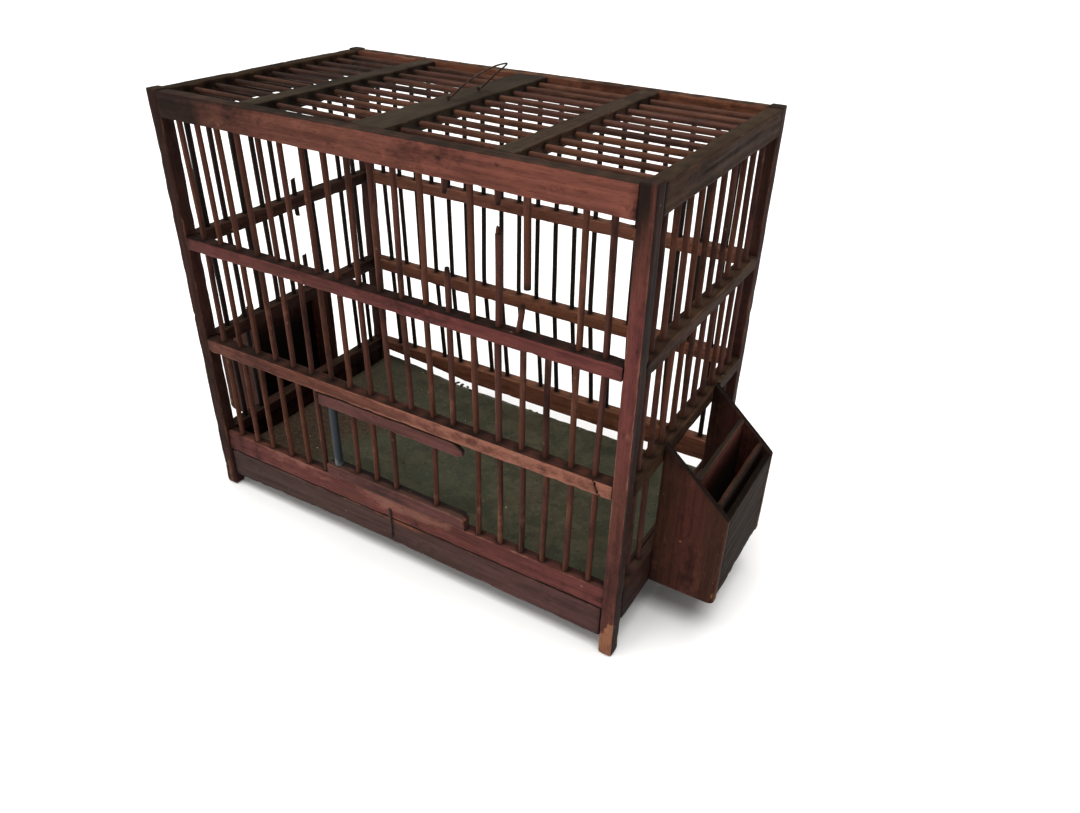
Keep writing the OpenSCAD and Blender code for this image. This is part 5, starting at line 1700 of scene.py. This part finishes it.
g = Geo()
FY = B("post_front_right")[0][1]
k_ = 0
rails_z = [511, 354, 221, 76]
for sx in (-1, 1):
    for z in rails_z:
        k_ += 1
        rs = np.random.RandomState(400 + k_)
        g.add(*nail((sx * (291.5 + rs.uniform(-2, 2)), FY + 0.55, z + rs.uniform(-3, 3)), (0, -1, 0), d=rs.uniform(2.2, 3.0), seed=400 + k_, rise=0.2))
        g.add(*nail((sx * (291.5 + rs.uniform(-2, 2)), -FY - 0.55, z + rs.uniform(-3, 3)), (0, 1, 0), d=rs.uniform(2.2, 3.0), seed=430 + k_, rise=0.2))
        for sy in (-1, 1):
            g.add(*nail((sx * 299.55, sy * (161.5 + rs.uniform(-2, 2)), z + rs.uniform(-3, 3)), (sx, 0, 0), d=rs.uniform(2.2, 3.0), seed=460 + k_ + 7 * sy, rise=0.25))
for nm in ("top_crosspiece_left", "top_crosspiece_middle", "top_crosspiece_right"):
    lo, hi = B(nm)
    cx_ = (lo[0] + hi[0]) / 2
    w_ = (hi[0] - lo[0]) / 2 - 6
    for sy in (-1, 1):
        for dx in ((0,) if w_ < 8 else (-w_, w_)):
            k_ += 1
            rs = np.random.RandomState(500 + k_)
            g.add(*nail((cx_ + dx + rs.uniform(-1.5, 1.5), sy * (hi[1] - 8 + rs.uniform(-2, 2)), hi[2] - 0.45), (0, 0, 1), d=rs.uniform(2.2, 3.0), seed=500 + k_, rise=0.2))
g.build("v_frame_nails", "cage", M_NAIL, "iron_wire")

g = Geo()
for side in (-1, 1):
    lo, hi = B(("right" if side > 0 else "left") + "_feeder_cheeks")
    wall = 300.0 * side
    for j, (s_, z) in enumerate(((6, 70), (6, 120), (6, 175), (48, 53.5), (74, 78), (74, 120), (74, 150), (36, 118), (36, 80))):
        for y, n in ((lo[1] + 0.4, -1), (hi[1] - 0.4, 1)):
            rs = np.random.RandomState(600 + j + (9 if side > 0 else 0))
            g.add(*nail((wall + side * s_ + rs.uniform(-0.8, 0.8), y, z + rs.uniform(-2, 2)), (0, n, 0), d=rs.uniform(2.0, 2.8), seed=610 + j, rise=0.3))
g.build("v_feeder_nails", "cage", M_NAIL, "iron_wire")


# ---------------------------------------------------------------- stage, light and camera

def stage_floor():
    s = Nodes("stage_floor")
    tc = s.new("ShaderNodeTexCoord").outputs["Object"]
    a = s.noise(tc, scale=3.0, detail=4)
    c = s.mix(s.range(a, 0.3, 0.7), (0.90, 0.905, 0.91, 1), (0.92, 0.92, 0.92, 1))
    mat = s.finish(c, s.range(a, 0.3, 0.7, 0.9, 1.0, "LINEAR"), a, bump=0.02, distance=0.0002, spec=0.1)
    lit = [n for n in mat.node_tree.nodes if n.type == "BSDF_PRINCIPLED"][0]
    lit.inputs["Emission Color"].default_value = (1, 1, 1, 1)
    lit.inputs["Emission Strength"].default_value = 0.02
    me = bpy.data.meshes.new("stage_floor")
    n, size = 24, 30.0
    xs = np.linspace(-size, size, n + 1)
    vx, vy = np.meshgrid(xs, xs)
    v = np.stack([vx.ravel(), vy.ravel(), np.full(vx.size, -0.0002)], 1)
    f = [(j * (n + 1) + i, j * (n + 1) + i + 1, (j + 1) * (n + 1) + i + 1, (j + 1) * (n + 1) + i) for j in range(n) for i in range(n)]
    me.from_pydata(v.tolist(), [], f)
    me.materials.append(mat)
    o = bpy.data.objects.new("stage_floor", me)
    bpy.context.scene.collection.objects.link(o)


stage_floor()

scene = bpy.context.scene
scene.view_settings.view_transform = "Standard"
scene.view_settings.look = "None"

world = bpy.data.worlds.new("studio")
scene.world = world
world.use_nodes = True
wt = world.node_tree
wt.nodes.clear()
wo = wt.nodes.new("ShaderNodeOutputWorld")
b1 = wt.nodes.new("ShaderNodeBackground")
b2 = wt.nodes.new("ShaderNodeBackground")
lp = wt.nodes.new("ShaderNodeLightPath")
mx = wt.nodes.new("ShaderNodeMixShader")
b1.inputs[0].default_value = (1.0, 0.985, 0.965, 1)
wc = wt.nodes.new("ShaderNodeTexCoord")
ws = wt.nodes.new("ShaderNodeSeparateXYZ")
wm = wt.nodes.new("ShaderNodeMapRange")
wt.links.new(wc.outputs["Generated"], ws.inputs[0])
wt.links.new(ws.outputs[0], wm.inputs["Value"])
wm.inputs["From Min"].default_value = -0.5
wm.inputs["From Max"].default_value = 1.0
wm.inputs["To Min"].default_value = 0.36
wm.inputs["To Max"].default_value = 0.12
wt.links.new(wm.outputs[0], b1.inputs[1])
b2.inputs[0].default_value = (1, 1, 1, 1)
b2.inputs[1].default_value = 1.0
wt.links.new(lp.outputs["Is Camera Ray"], mx.inputs[0])
wt.links.new(b1.outputs[0], mx.inputs[1])
wt.links.new(b2.outputs[0], mx.inputs[2])
wt.links.new(mx.outputs[0], wo.inputs[0])


def sun(name, direction, strength, angle, color=(1, 1, 1)):
    """direction is where the light comes from."""
    d = np.array(direction, float)
    d /= np.linalg.norm(d)
    li = bpy.data.lights.new(name, "SUN")
    li.energy = strength
    li.angle = math.radians(angle)
    li.color = color
    o = bpy.data.objects.new(name, li)
    ref = np.array([0, 0, 1.0]) if abs(d[2]) < 0.95 else np.array([0, 1.0, 0])
    x = np.cross(ref, d)
    x /= np.linalg.norm(x)
    y = np.cross(d, x)
    o.matrix_world = Matrix(((x[0], y[0], d[0], 0), (x[1], y[1], d[1], 0), (x[2], y[2], d[2], 3), (0, 0, 0, 1)))
    bpy.context.scene.collection.objects.link(o)
    return o


sun("key_above", (0.04, -0.07, 1.0), 3.95, 58, (1.0, 0.99, 0.97))
sun("fill_front", (-0.5, -0.95, 0.45), 0.75, 50, (1.0, 0.98, 0.95))

cam = bpy.data.cameras.new("camera")
cam.sensor_fit = "HORIZONTAL"
cam.sensor_width = 36
cam.lens = 27.879
cam.shift_x = 0.0074
cam.shift_y = -0.0024
cam.clip_start = 0.01
cam.clip_end = 100
co = bpy.data.objects.new("camera", cam)
co.matrix_world = Matrix(((0.85669, -0.28736, 0.42838, 0.5394), (0.51542, 0.44338, -0.73332, -0.7652), (0.02079, 0.84902, 0.52795, 0.7216), (0, 0, 0, 1)))
scene.collection.objects.link(co)
scene.camera = co

bpy.context.view_layer.update()
